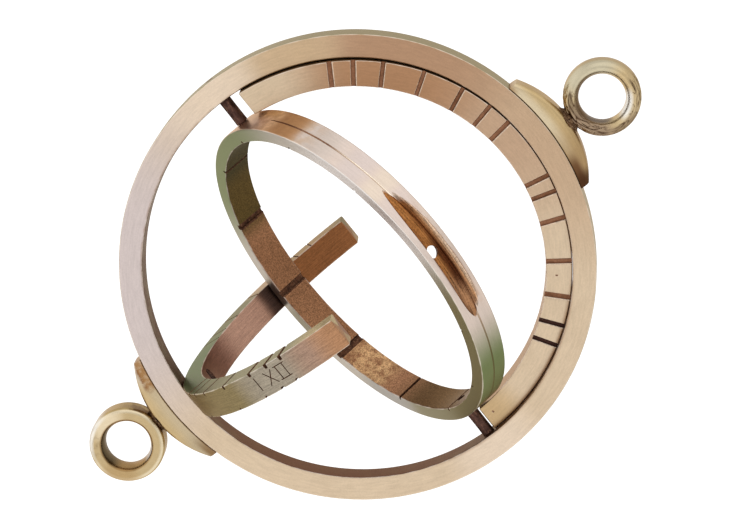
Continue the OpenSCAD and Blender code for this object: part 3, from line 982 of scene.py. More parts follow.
class ShapeTrees:
    """The Geometry Nodes trees: a swept band, a swept half-band and the cuts into either."""

    # Shares of the unevenness by which a mark is wider at most, and by which it is askew, in radians
    WIDER = 0.6
    ASKEW = 0.16

    def __init__(self) -> None:
        """Builds every tree."""
        self.ring = self._band("swept_ring", closed=True)
        self.half_ring = self._band("swept_half_ring", closed=False)
        self.cuts = self._cuts()

    def _band(self, name: str, closed: bool) -> bpy.types.NodeTree:
        """Makes the tree that sweeps a rounded bar round the Y axis.

        Args:
            name: Name of the tree.
            closed: True for a full ring, false for a half-ring with ends square to Z.

        Returns:
            The tree.
        """
        sizes = {"Radius": "value", "Wall": "value", "Width": "value", "Corner": "value",
                 "Corner Steps": "count", "Stations": "count"}
        if not closed:
            sizes |= {"Left Height": "value", "Right Height": "value", "End Bevel": "value"}
        bench, start, end = new_tree(name, {"Geometry": "geometry"} | sizes | {"Metal": "material"},
                                     {"Geometry": "geometry"}, "GeometryNodeTree")
        bar = bench.out("GeometryNodeCurvePrimitiveQuadrilateral",
                        {"Width": start["Wall"], "Height": start["Width"]})
        bar = bench.out("GeometryNodeFilletCurve", {
            "Curve": bar, "Count": start["Corner Steps"],
            "Radius": start["Corner"]}, mode="POLY")
        if closed:
            path = bench.out("GeometryNodeCurvePrimitiveCircle", {
                "Resolution": start["Stations"], "Radius": start["Radius"]})
            scale: Value = 1.0
        else:
            path = bench.out("GeometryNodeCurveArc", {
                "Resolution": start["Stations"], "Radius": start["Radius"],
                "Start Angle": 0.0, "Sweep Angle": math.pi})
            tips = bench.out("GeometryNodeCurveEndpointSelection", {"Start Size": 1, "End Size": 1})
            slim = bench.math("SUBTRACT", 1.0, bench.math(
                "DIVIDE", start["End Bevel"], bench.math("MULTIPLY", start["Wall"], 0.5)))
            scale = bench.out(
                "GeometryNodeSwitch", {"Switch": tips, "False": 1.0, "True": slim}, input_type="FLOAT")
        track = bench.out("GeometryNodeSetCurveNormal", {"Curve": path}, mode="Z_UP")
        if not closed:
            along = bench.add("GeometryNodeSplineParameter").outputs["Factor"]
            track = bench.out("GeometryNodeStoreNamedAttribute", {
                "Geometry": track, "Name": "share", "Value": along}, data_type="FLOAT")
        body = bench.out("GeometryNodeCurveToMesh", {
            "Curve": track, "Profile Curve": bar, "Scale": scale, "Fill Caps": True})
        if not closed:
            body = self._square_ends(bench, start, body)
        body = bench.out("GeometryNodeTransform", {"Geometry": body, "Rotation": (math.pi / 2, 0.0, 0.0)})
        body = bench.out("GeometryNodeRealizeInstances", {"Geometry": body})
        body = bench.out("GeometryNodeSetMaterial", {"Geometry": body, "Material": start["Metal"]})
        bench.tree.links.new(body, end.inputs[0])
        return bench.tree

    @staticmethod
    def _square_ends(bench: NodeBench, start: Sockets,
                     body: bpy.types.NodeSocket) -> bpy.types.NodeSocket:
        """Moves the stations of a half-band so that its ends lie at two heights, square to the loop axis.

        Args:
            bench: The tree's bench.
            start: Sockets of the tree's inputs.
            body: The half-band.

        Returns:
            The moved half-band.
        """
        share = bench.out("GeometryNodeInputNamedAttribute", {"Name": "share"}, data_type="FLOAT")
        step = bench.math("DIVIDE", 1.0, bench.math("SUBTRACT", start["Stations"], 1.0))
        length = bench.math("MULTIPLY", start["Radius"], math.pi)
        tip = bench.math("DIVIDE", start["End Bevel"], length)
        share = bench.out("ShaderNodeMapRange", {
            0: share, 1: step, 2: bench.math("SUBTRACT", 1.0, step),
            3: tip, 4: bench.math("SUBTRACT", 1.0, tip)}, clamp=False)
        share = bench.out("ShaderNodeClamp", {0: share})
        parts = bench.add("ShaderNodeSeparateXYZ", {0: bench.out("GeometryNodeInputPosition")})
        flat = bench.out("ShaderNodeCombineXYZ", {0: parts.outputs[0], 1: parts.outputs[1]})
        radius = bench.add("ShaderNodeVectorMath", {0: flat}, operation="LENGTH").outputs["Value"]
        first = bench.math("ARCSINE", bench.math("DIVIDE", start["Right Height"], radius))
        last = bench.math("ARCSINE", bench.math("DIVIDE", start["Left Height"], radius))
        last = bench.math("SUBTRACT", math.pi, last)
        angle = bench.blend(share, first, last)
        spot = bench.out("ShaderNodeCombineXYZ", {
            0: bench.math("MULTIPLY", radius, bench.math("COSINE", angle)),
            1: bench.math("MULTIPLY", radius, bench.math("SINE", angle)),
            2: parts.outputs[2]})
        return bench.out("GeometryNodeSetPosition", {"Geometry": body, "Position": spot})

    @staticmethod
    def _cuts() -> bpy.types.NodeTree:
        """Makes the tree that saws a row of marks and cuts a set of bodies out of a piece.

        Returns:
            The tree.
        """
        bench, start, end = new_tree("sawn_cuts", {
            "Geometry": "geometry", "Marks": "object", "Blade": "object", "Cutters": "collection",
            "Unevenness": "value", "Seed": "count", "Cut": "material"},
            {"Geometry": "geometry"}, "GeometryNodeTree")
        marks = bench.add("GeometryNodeObjectInfo", {"Object": start["Marks"]}).outputs["Geometry"]
        blade = bench.add("GeometryNodeObjectInfo", {"Object": start["Blade"]}).outputs["Geometry"]
        blade = bench.out("GeometryNodeSetMaterial", {"Geometry": blade, "Material": start["Cut"]})
        turn = bench.out("GeometryNodeInputNamedAttribute", {"Name": "turn"}, data_type="QUATERNION")
        size = bench.out("GeometryNodeInputNamedAttribute", {"Name": "size"}, data_type="FLOAT_VECTOR")
        least = bench.math("SUBTRACT", 1.0, start["Unevenness"])
        low = bench.out("ShaderNodeCombineXYZ", {0: least, 1: 1.0, 2: least})
        most = bench.math("ADD", 1.0, bench.math("MULTIPLY", start["Unevenness"], ShapeTrees.WIDER))
        high = bench.out("ShaderNodeCombineXYZ", {0: most, 1: 1.0, 2: 1.0})
        vary = bench.out("FunctionNodeRandomValue", {0: low, 1: high, "Seed": start["Seed"]},
                         data_type="FLOAT_VECTOR")
        size = bench.out("ShaderNodeVectorMath", {0: size, 1: vary}, operation="MULTIPLY")
        skew = bench.math("MULTIPLY", start["Unevenness"], ShapeTrees.ASKEW)
        lean = bench.add("FunctionNodeRandomValue", {
            2: bench.math("MULTIPLY", skew, -1.0), 3: skew, "Seed": start["Seed"]},
            data_type="FLOAT").outputs[1]
        lean = bench.out("ShaderNodeCombineXYZ", {2: lean})
        lean = bench.out("FunctionNodeEulerToRotation", {0: lean})
        turn = bench.out("FunctionNodeRotateRotation", {0: turn, 1: lean}, rotation_space="LOCAL")
        row = bench.out("GeometryNodeInstanceOnPoints", {
            "Points": marks, "Instance": blade, "Rotation": turn, "Scale": size})
        bodies = bench.out("GeometryNodeCollectionInfo", {
            "Collection": start["Cutters"], "Separate Children": True})
        cut = bench.add("GeometryNodeMeshBoolean", {"Mesh 1": start["Geometry"]},
                        operation="DIFFERENCE", solver="EXACT")
        bench.tree.links.new(row, cut.inputs["Mesh 2"])
        bench.tree.links.new(bodies, cut.inputs["Mesh 2"])
        whole = bench.out("GeometryNodeRealizeInstances", {0: cut.outputs[0]})
        bench.tree.links.new(whole, end.inputs[0])
        return bench.tree


@dataclass(frozen=True)
class Mark:
    """One sawn mark: where the blade goes in, how it lies and how large the cut is.

    Attributes:
        place: Point on the surface, in the band's own frame.
        across: Direction of the cut's width.
        along: Direction of its length.
        out: Direction out of the surface.
        width: Width of the cut.
        length: Length of the cut.
        depth: Depth of the cut.
    """

    place: Vector
    across: Vector
    along: Vector
    out: Vector
    width: float
    length: float
    depth: float

    def turn(self) -> Quaternion:
        """Returns the rotation that lays the blade in the mark."""
        columns = (self.across.normalized(), self.along.normalized(), self.out.normalized())
        return Matrix(columns).transposed().to_quaternion()


def on_ring(angle: float, radius: float, axial: float = 0.0) -> Vector:
    """Returns a band's point at degrees from +X towards +Z, a radius and a place along the Y axis."""
    turn = math.radians(angle)
    return Vector((radius * math.cos(turn), axial, radius * math.sin(turn)))


class Workshop:
    """Makes objects, runs trees on them and brings them to their place in the dial."""

    # Distance at which points become one, and outline of a saw cut across it, in widths and depths
    MERGED = 1e-4
    BLADE = ((-0.30, -1.0), (0.28, -1.0), (0.40, -0.82), (0.43, -0.24), (0.66, 0.04), (0.66, 0.7),
             (-0.58, 0.7), (-0.58, 0.05), (-0.48, -0.12), (-0.44, -0.82))

    def __init__(self, trees: ShapeTrees, finishes: Finishes) -> None:
        """Takes the Geometry Nodes trees and the materials."""
        self.trees = trees
        self.finishes = finishes

    @staticmethod
    def object_of(name: str, shape: bmesh.types.BMesh,
                  material: Optional[bpy.types.Material] = None) -> bpy.types.Object:
        """Makes a scene object from a bmesh, which is freed.

        Args:
            name: Name of the object.
            shape: Its shape.
            material: Its material, if it has one yet.

        Returns:
            The object, at the origin.
        """
        mesh = bpy.data.meshes.new(name)
        shape.to_mesh(mesh)
        shape.free()
        if material:
            mesh.materials.append(material)
        obj = bpy.data.objects.new(name, mesh)
        bpy.context.scene.collection.objects.link(obj)
        return obj

    @staticmethod
    def settle(obj: bpy.types.Object) -> None:
        """Turns what the modifiers give into the object's plain mesh and removes them.

        Args:
            obj: The object.
        """
        graph = bpy.context.evaluated_depsgraph_get()
        mesh = bpy.data.meshes.new_from_object(
            obj.evaluated_get(graph), preserve_all_data_layers=True, depsgraph=graph)
        obj.modifiers.clear()
        old = obj.data
        obj.data = mesh
        bpy.data.meshes.remove(old)
        mesh.name = obj.name

    def run(self, obj: bpy.types.Object, tree: bpy.types.NodeTree, values: Mapping[str, Value]) -> None:
        """Runs a tree on an object and keeps the result as its mesh.

        Args:
            obj: The object.
            tree: The Geometry Nodes tree.
            values: A value for each of the tree's named inputs.
        """
        modifier = obj.modifiers.new(tree.name, "NODES")
        modifier.node_group = tree
        for item in tree.interface.items_tree:
            if item.in_out == "INPUT" and item.name in values:
                modifier[item.identifier] = values[item.name]
        obj.update_tag()
        self.settle(obj)

    @staticmethod
    def stitch(shape: bmesh.types.BMesh, loops: Sequence[Sequence[bmesh.types.BMVert]],
               ring: bool = False) -> bmesh.types.BMesh:
        """Skins a row of loops into a solid whose faces point outwards.

        Args:
            shape: The bmesh that holds the loops.
            loops: Loops with the same number of points, in order.
            ring: True if the last loop joins the first, false if both are closed by a face.

        Returns:
            The same bmesh.
        """
        size = len(loops[0])
        followers = [*loops[1:], *loops[:1]] if ring else loops[1:]
        for first, second in zip(loops, followers):
            for k in range(size):
                after = (k + 1) % size
                shape.faces.new((first[k], first[after], second[after], second[k]))
        if not ring:
            shape.faces.new(loops[0])
            shape.faces.new(loops[-1])
        bmesh.ops.recalc_face_normals(shape, faces=shape.faces)
        return shape

    @staticmethod
    def prism(outline: Sequence[tuple[float, float]], start: float, stop: float) -> bmesh.types.BMesh:
        """Makes a prism along Y from an outline in X and Z.

        Args:
            outline: Corners, in order.
            start: One end along Y.
            stop: The other end.

        Returns:
            The prism.
        """
        shape = bmesh.new()
        ends = [[shape.verts.new((x, y, z)) for x, z in outline] for y in (start, stop)]
        return Workshop.stitch(shape, ends)

    @staticmethod
    def lathe(profile: Sequence[tuple[float, float]], steps: int,
              ring: bool = False) -> bmesh.types.BMesh:
        """Turns a profile about Z into a closed solid.

        Args:
            profile: Radius and height of each corner, from the lower end to the upper end.
            steps: Number of faces round the axis.
            ring: True if the profile is a closed section beside the axis.

        Returns:
            The solid.
        """
        shape = bmesh.new()
        turns = [2.0 * math.pi * k / steps for k in range(steps)]
        loops = [[shape.verts.new((radius * math.cos(t), radius * math.sin(t), height)) for t in turns]
                 for radius, height in profile]
        return Workshop.stitch(shape, loops, ring)

    def ring(self, name: str, band: Band, corner: float, metal: bpy.types.Material,
             corner_steps: int = CORNER_STEPS, stations: int = RING_STATIONS) -> bpy.types.Object:
        """Makes a swept ring about Y.

        Args:
            name: Name of the ring.
            band: Its section.
            corner: Radius of its rounded corners.
            metal: Its material.
            corner_steps: Steps in each corner.
            stations: Steps round the ring.

        Returns:
            The ring.
        """
        obj = self.object_of(name, bmesh.new())
        self.run(obj, self.trees.ring, {
            "Radius": band.middle, "Wall": band.wall, "Width": band.width, "Corner": corner,
            "Corner Steps": corner_steps, "Stations": stations, "Metal": metal})
        return obj

    def bar(self, name: str, diameter: float, low: float, high: float, pose: Matrix) -> bpy.types.Object:
        """Makes a cutter for a round hole along Z, with a dark wall.

        Args:
            name: Name of the cutter.
            diameter: Its diameter.
            low: Its lower end.
            high: Its upper end.
            pose: How it is turned.

        Returns:
            The cutter.
        """
        shape = self.lathe([(diameter / 2, low), (diameter / 2, high)], BORE_STEPS)
        obj = self.object_of(name, shape, self.finishes.dark_bronze)
        obj.data.transform(pose)
        return obj

    def cut(self, obj: bpy.types.Object, marks: Sequence[Mark], cutters: Sequence[bpy.types.Object],
            material: bpy.types.Material, seed: int, unevenness: float = 0.0) -> None:
        """Saws marks and cuts bodies out of a piece.

        Args:
            obj: The piece, in its own frame.
            marks: The sawn marks.
            cutters: Closed bodies that are cut out and then deleted.
            material: Material of the sawn marks.
            seed: Seed of the marks' unevenness.
            unevenness: Share by which widths and depths vary.
        """
        rows = bmesh.new()
        for mark in marks:
            rows.verts.new(mark.place)
        points = self.object_of(obj.name + "_marks", rows)
        turns = points.data.attributes.new("turn", "QUATERNION", "POINT")
        for k, mark in enumerate(marks):
            turns.data[k].value = mark.turn()
        sizes = points.data.attributes.new("size", "FLOAT_VECTOR", "POINT")
        for k, mark in enumerate(marks):
            sizes.data[k].vector = (mark.width, mark.length, mark.depth)
        blade = self.object_of(obj.name + "_blade", self.prism(self.BLADE, -0.5, 0.5))
        bodies = bpy.data.collections.new(obj.name + "_cutters")
        bpy.context.scene.collection.children.link(bodies)
        for cutter in cutters:
            bodies.objects.link(cutter)
        self.run(obj, self.trees.cuts, {"Marks": points, "Blade": blade, "Cutters": bodies,
                                        "Unevenness": unevenness, "Seed": seed, "Cut": material})
        for spare in (points, blade, *cutters):
            bpy.data.objects.remove(spare)
        bpy.data.collections.remove(bodies)

    def finish(self, obj: bpy.types.Object, pose: Matrix, sharp: float = 32.0) -> None:
        """Merges doubles, smooths the shading and brings the mesh to its place in metres.

        Args:
            obj: The piece, in its own frame and millimetres.
            pose: From its own frame to the dial's.
            sharp: Angle in degrees above which an edge stays sharp.
        """
        shape = bmesh.new()
        shape.from_mesh(obj.data)
        bmesh.ops.remove_doubles(shape, verts=shape.verts, dist=self.MERGED)
        bmesh.ops.dissolve_degenerate(shape, edges=shape.edges, dist=self.MERGED)
        shape.to_mesh(obj.data)
        shape.free()
        obj.data.shade_smooth()
        obj.data.set_sharp_from_angle(angle=math.radians(sharp))
        even = obj.modifiers.new("even_normals", "WEIGHTED_NORMAL")
        even.keep_sharp = True
        self.settle(obj)
        obj.data.transform(Matrix.Scale(MM, 4) @ pose)
        obj.data.update()

    @staticmethod
    def hand_over(obj: bpy.types.Object, body: str, slot: str, *nodes: str) -> None:
        """Rides a piece on its body and hides the CAD nodes that it stands for.

        Args:
            obj: The finished piece.
            body: The body it moves with.
            slot: The record's material slot; not used.
            nodes: CAD nodes that it stands for.
        """
        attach(obj, body)
        if nodes:
            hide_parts(*nodes)
        LOG.info("%s rides on %s with %d faces", obj.name, body, len(obj.data.polygons))


def turned(x: float = 0.0, y: float = 0.0, z: float = 0.0) -> Matrix:
    """Returns a rotation by degrees about X, then Y, then Z."""
    return Euler([math.radians(a) for a in (x, y, z)]).to_matrix().to_4x4()


def loop_end(side: Side) -> Matrix:
    """Returns the turn that brings what stands on +Z to one end of the loop axis."""
    return Matrix.Identity(4) if side is Side.UPPER else turned(x=180.0)


@dataclass
class MeridianRing:
    """The outer ring that everything hangs in, with holes for its pins and screws."""

    band: Band = MERIDIAN
    corner: float = 0.26
    pin_hole: float = 1.52
    screw_hole: float = 1.64
    washer_hole: float = 4.48
    washer_seat: float = 0.15

    def build(self, shop: Workshop) -> None:
        """Makes, dresses and hands over the ring.

        Args:
            shop: Where pieces are made.
        """
        obj = shop.ring("meridian_ring_metal", self.band, self.corner, shop.finishes.meridian)
        start = self.band.inner - OVERSHOOT
        stop = self.band.outer + OVERSHOOT
        seat = self.band.inner + self.washer_seat
        cutters = []
        for side in Side:
            across = turned(y=90.0 * side.value)
            upright = loop_end(side)
            for name, diameter, end, pose in (("_pin_hole", self.pin_hole, stop, across),
                                              ("_screw_hole", self.screw_hole, stop, upright),
                                              ("_washer_hole", self.washer_hole, seat, upright)):
                cutters.append(shop.bar(side.name.lower() + name, diameter, start, end, pose))
        shop.cut(obj, (), cutters, shop.finishes.saw_cut, seed=1)
        shop.finish(obj, Matrix.Identity(4))
        shop.hand_over(obj, "frame", "bronze", "meridian_ring")


@dataclass
class HalfRing:
    """A half-ring that swings on a pivot screw, with two groups of seven sawn marks on each face.

    Attributes:
        node: CAD node, which is also the body.
        band: Section of the half-ring.
        pose: From the half-ring's own frame, where it stands on +Z, to the dial's.
        left_height: Height of the end at -X.
        right_height: Height of the end at +X.
        right_marks: Angles of the marks towards +X.
        left_marks: Angles of the marks towards -X.
        right_widths: Width of each mark towards +X.
        left_widths: Width of each mark towards -X.
        seed: Seed of the marks' unevenness.
        right_depth: Depth of the marks towards +X.
        left_depth: Depth of the marks towards -X.
        far_share: Share of a mark's depth that the far face has.
        pits: Angle and radius of each punched pit on the near face.
        lettered: True if the outer wall carries hour numerals.
    """

    node: str
    band: Band
    pose: Matrix
    left_height: float
    right_height: float
    right_marks: tuple[float, ...]
    left_marks: tuple[float, ...]
    right_widths: tuple[float, ...]
    left_widths: tuple[float, ...]
    seed: int
    right_depth: float = 0.5
    left_depth: float = 0.5
    far_share: float = 1.0
    pits: tuple[tuple[float, float], ...] = ()
    lettered: bool = False

    # Sizes that both half-rings share; a stroke's are its width, overrun and depth
    corner: float = 0.2
    end_bevel: float = 0.14
    bore: float = 2.1
    head: float = 3.1
    head_height: float = 31.6525
    neck_height: float = 32.1525
    washer: float = 4.6
    washer_foot: float = 35.51
    pit_size: tuple[float, float, float] = (0.3, 0.4, 0.2)
    numeral_start: float = 148.6
    numeral_height: float = 2.5
    numeral_unit: float = 1.45
    numeral_shift: float = -0.15
    stroke_size: tuple[float, float, float] = (0.17, 0.12, 0.15)

    # Ends of the strokes of I and XII, in units along the arc and heights across it
    NUMERALS = (((0.0, 0.0), (0.0, 1.0)), ((1.55, 0.0), (2.75, 1.0)), ((1.55, 1.0), (2.75, 0.0)),
                ((3.5, 0.0), (3.5, 1.0)), ((4.5, 0.0), (4.5, 1.0)), ((3.2, 1.0), (4.8, 1.0)),
                ((3.2, 0.0), (4.8, 0.0)))

    def marks(self) -> list[Mark]:
        """Gives the sawn marks of both groups on both faces, and the punched pits.

        Returns:
            The marks, those of the near face first and the pits last.
        """
        groups = ((self.right_marks, self.right_widths, self.right_depth),
                  (self.left_marks, self.left_widths, self.left_depth))
        length = self.band.wall + OVERSHOOT
        found = []
        for face, share in ((-1.0, 1.0), (1.0, self.far_share)):
            for angles, widths, depth in groups:
                found += [self._face_mark(angle, self.band.middle, face, (width, length, depth * share))
                          for angle, width in zip(angles, widths)]
        return found + [self._face_mark(angle, radius, -1.0, self.pit_size) for angle, radius in self.pits]

    def _face_mark(self, angle: float, radius: float, face: float,
                   size: tuple[float, float, float]) -> Mark:
        """Gives a mark on one of the two faces.

        Args:
            angle: Its angle on the half-ring.
            radius: Distance of its middle from the axis.
            face: -1 for the near face, 1 for the far one.
            size: Its width, length and depth.

        Returns:
            The mark.
        """
        out = Vector((0.0, face, 0.0))
        radial = on_ring(angle, 1.0)
        place = on_ring(angle, radius, face * self.band.width / 2)
        return Mark(place, radial.cross(out), radial, out, *size)

    def numerals(self) -> list[Mark]:
        """Gives the strokes of the hour numerals on the outer wall.

        Returns:
            The strokes.
        """
        width, overrun, depth = self.stroke_size
        found = []
        for ends in self.NUMERALS:
            spots = []
            for along, up in ends:
                angle = self.numeral_start + math.degrees(along * self.numeral_unit / self.band.outer)
                axial = (0.5 - up) * self.numeral_height + self.numeral_shift
                spots.append(on_ring(angle, self.band.outer, axial))
            line = spots[1] - spots[0]
            middle = (spots[0] + spots[1]) / 2
            out = Vector((middle.x, 0.0, middle.z)).normalized()
            place = out * self.band.outer + Vector((0.0, middle.y, 0.0))
            found.append(Mark(place, line.cross(out), line, out, width, line.length + overrun, depth))
        return found

    def build(self, shop: Workshop, metal: bpy.types.Material, mark: bpy.types.Material) -> None:
        """Makes, dresses and hands over the half-ring.

        Args:
            shop: Where pieces are made.
            metal: Material of its bare metal.
            mark: Material of its sawn marks.
        """
        obj = shop.object_of(self.node + "_metal", bmesh.new())
        shop.run(obj, shop.trees.half_ring, {
            "Radius": self.band.middle, "Wall": self.band.wall, "Width": self.band.width,
            "Corner": self.corner, "Corner Steps": CORNER_STEPS, "Stations": HALF_RING_STATIONS,
            "Left Height": self.left_height, "Right Height": self.right_height,
            "End Bevel": self.end_bevel, "Metal": metal})
        start = self.band.inner - OVERSHOOT
        stop = self.band.outer + OVERSHOOT
        profile = [(self.head / 2, start), (self.head / 2, self.head_height),
                   (self.bore / 2, self.neck_height)]
        cone = shop.object_of("head_cone", shop.lathe(profile, BORE_STEPS), shop.finishes.dark_bronze)
        cutters = [cone, shop.bar("screw_bore", self.bore, start, stop, Matrix.Identity(4))]
        if self.band.outer > self.washer_foot:
            cutters.append(shop.bar(
                "washer_seat", self.washer, self.washer_foot, stop, Matrix.Identity(4)))
        shop.cut(obj, self.marks(), cutters, mark, self.seed, unevenness=0.16)
        if self.lettered:
            shop.cut(obj, self.numerals(), (), shop.finishes.saw_cut, self.seed + 1, unevenness=0.1)
        shop.finish(obj, self.pose)
        shop.hand_over(obj, self.node, "bronze", self.node)


@dataclass(frozen=True)
class Hollow:
    """A long hollow in the sight ring's outer wall.

    Attributes:
        length: Length along the ring.
        width: Width at the rim.
        depth: Depth at the middle.
        shift: Place of its middle line along the ring's axis.
    """

    length: float
    width: float
    depth: float
    shift: float


@dataclass
class SightRing:
    """The inner ring with a groove, a long scoop, a pinhole and slots across its inner wall."""

    band: Band = SIGHT
    corner: float = 0.26
    groove_width: float = 0.32
    groove_depth: float = 0.11
    groove_corner: float = 0.08
    groove_stations: int = 250
    worn_heading: float = 176.0
    worn_spread: float = 14.0
    worn_ramp: float = 9.0
    worn_lift: float = 1.15
    pinhole: float = 1.7
    pinhole_flare: float = 1.4
    pinhole_lip: float = 0.3
    pinhole_off: float = 0.7
    pinhole_angle: float = 87.0
    scoop_middle: float = 86.4
    deep_scoop: Hollow = Hollow(length=26.8, width=2.5, depth=1.05, shift=-0.4)
    side_scoop: Hollow = Hollow(length=24.12, width=2.7, depth=0.42, shift=0.55)
    pin_hole: float = 1.6
    slot_depth: float = 0.6
    slot_pitch: float = 30.0
    slot_turn: float = -2.0
    pinhole_place: int = 3
    broad_places: tuple[int, ...] = (8, 9, 10)
    broad_slot: float = 1.2
    thin_slot: float = 0.5

    # Powers that shape a hollow: its pointed and its blunt end, its width, its depth and its section
    POINTED_END = 2.5
    BLUNT_END = 6.0
    WIDTH_POWER = 0.75
    DEPTH_POWER = 0.8
    SECTION_POWER = 0.8

    # Least size of a hollow's cutter, its height over the wall, and the steps along and across it
    LEAST = 0.02
    LID = 0.8
    HOLLOW_STATIONS = 44
    HOLLOW_RIBS = 14

    def slots(self) -> list[Mark]:
        """Gives the slots across the inner wall, one at each hour but the pinhole's.

        Returns:
            The slots.
        """
        found = []
        along = Vector((0.0, 1.0, 0.0))
        for place in range(round(360.0 / self.slot_pitch)):
            if place == self.pinhole_place:
                continue
            angle = place * self.slot_pitch + self.slot_turn
            out = -on_ring(angle, 1.0)
            width = self.broad_slot if place in self.broad_places else self.thin_slot
            found.append(Mark(on_ring(angle, self.band.inner), along.cross(out), along, out, width,
                              self.band.width + OVERSHOOT, self.slot_depth))
        return found

    def canoe(self, name: str, hollow: Hollow, material: bpy.types.Material) -> bpy.types.Object:
        """Makes a long hollow's cutter, bent round the ring, with a pointed left and a blunt right end.

        Args:
            name: Name of the cutter.
            hollow: Its sizes.
            material: Material that the cut gets.

        Returns:
            The cutter.
        """
        shape = bmesh.new()
        outer = self.band.outer
        half_turn = math.degrees(hollow.length / 2 / outer)
        loops = []
        for k in range(self.HOLLOW_STATIONS + 1):
            place = -1.0 + 2.0 * k / self.HOLLOW_STATIONS
            full = max(0.0, 1.0 - abs(place) ** (self.POINTED_END if place < 0.0 else self.BLUNT_END))
            half = max(self.LEAST, hollow.width / 2 * full ** self.WIDTH_POWER)
            sink = max(self.LEAST, hollow.depth * full ** self.DEPTH_POWER)
            angle = self.scoop_middle - place * half_turn
            loop = []
            for rib in range(self.HOLLOW_RIBS + 1):
                turn = math.pi * rib / self.HOLLOW_RIBS
                radius = outer + self.LEAST - sink * math.sin(turn) ** self.SECTION_POWER
                loop.append(on_ring(angle, radius, hollow.shift - half * math.cos(turn)))
            loop += [on_ring(angle, outer + self.LID, hollow.shift + side) for side in (half, -half)]
            loops.append([shape.verts.new(point) for point in loop])
        return Workshop.object_of(name, Workshop.stitch(shape, loops), material)

    def _wear_away(self, groove: bpy.types.Object) -> None:
        """Lifts the groove's cutter where the groove is worn away, beside the left pin.

        Args:
            groove: The cutter.
        """
        for vertex in groove.data.vertices:
            place = vertex.co
            radius = math.hypot(place.x, place.z)
            if radius > self.band.outer:
                continue
            heading = math.degrees(math.atan2(place.z, place.x)) % 360.0
            beyond = (abs(heading - self.worn_heading) - self.worn_spread) / self.worn_ramp
            worn = 1.0 - min(max(beyond, 0.0), 1.0)
            grown = 1.0 + self.worn_lift * worn * self.groove_depth / radius
            vertex.co = (place.x * grown, place.y, place.z * grown)

    def build(self, shop: Workshop) -> None:
        """Makes, dresses and hands over the ring.

        Args:
            shop: Where pieces are made.
        """
        finishes = shop.finishes
        obj = shop.ring("sight_ring_metal", self.band, self.corner, finishes.sight)
        start = self.band.inner - OVERSHOOT
        stop = self.band.outer + OVERSHOOT
        groove = shop.ring("groove", Band(stop, OVERSHOOT + self.groove_depth, self.groove_width),
                           self.groove_corner, finishes.groove, corner_steps=1,
                           stations=self.groove_stations)
        self._wear_away(groove)
        scoops = [self.canoe("deep_scoop", self.deep_scoop, finishes.scoop),
                  self.canoe("side_scoop", self.side_scoop, finishes.scoop)]
        narrow = self.pinhole / 2
        wide = narrow + self.pinhole_flare / 2
        pinhole = shop.object_of("pinhole", shop.lathe(
            [(wide, start), (wide, self.band.inner), (narrow, self.band.outer - self.pinhole_lip),
             (narrow, stop)], BORE_STEPS), finishes.saw_cut)
        upright = turned(y=90.0 - self.pinhole_angle)
        pinhole.data.transform(upright @ Matrix.Translation((0.0, -self.pinhole_off, 0.0)))
        cutters = [groove, *scoops, pinhole]
        for side in Side:
            cutters.append(shop.bar(side.name.lower() + "_spigot_hole", self.pin_hole, start, stop,
                                    turned(y=90.0 * side.value)))
        shop.cut(obj, self.slots(), cutters, finishes.saw_cut, seed=31, unevenness=0.12)
        shop.finish(obj, turned(x=SIGHT_TILT))
        shop.hand_over(obj, "sight_ring", "bronze", "sight_ring")


@dataclass(frozen=True)
class FileMarks:
    """A stretch of an eye with file marks.

    Attributes:
        heading: Middle of the stretch, in degrees.
        spread: Half of the stretch, in degrees.
        strength: Strength of the marks, 0 to 1.
        clear: Distance from the bore at which they start.
    """

    heading: float
    spread: float
    strength: float
    clear: float


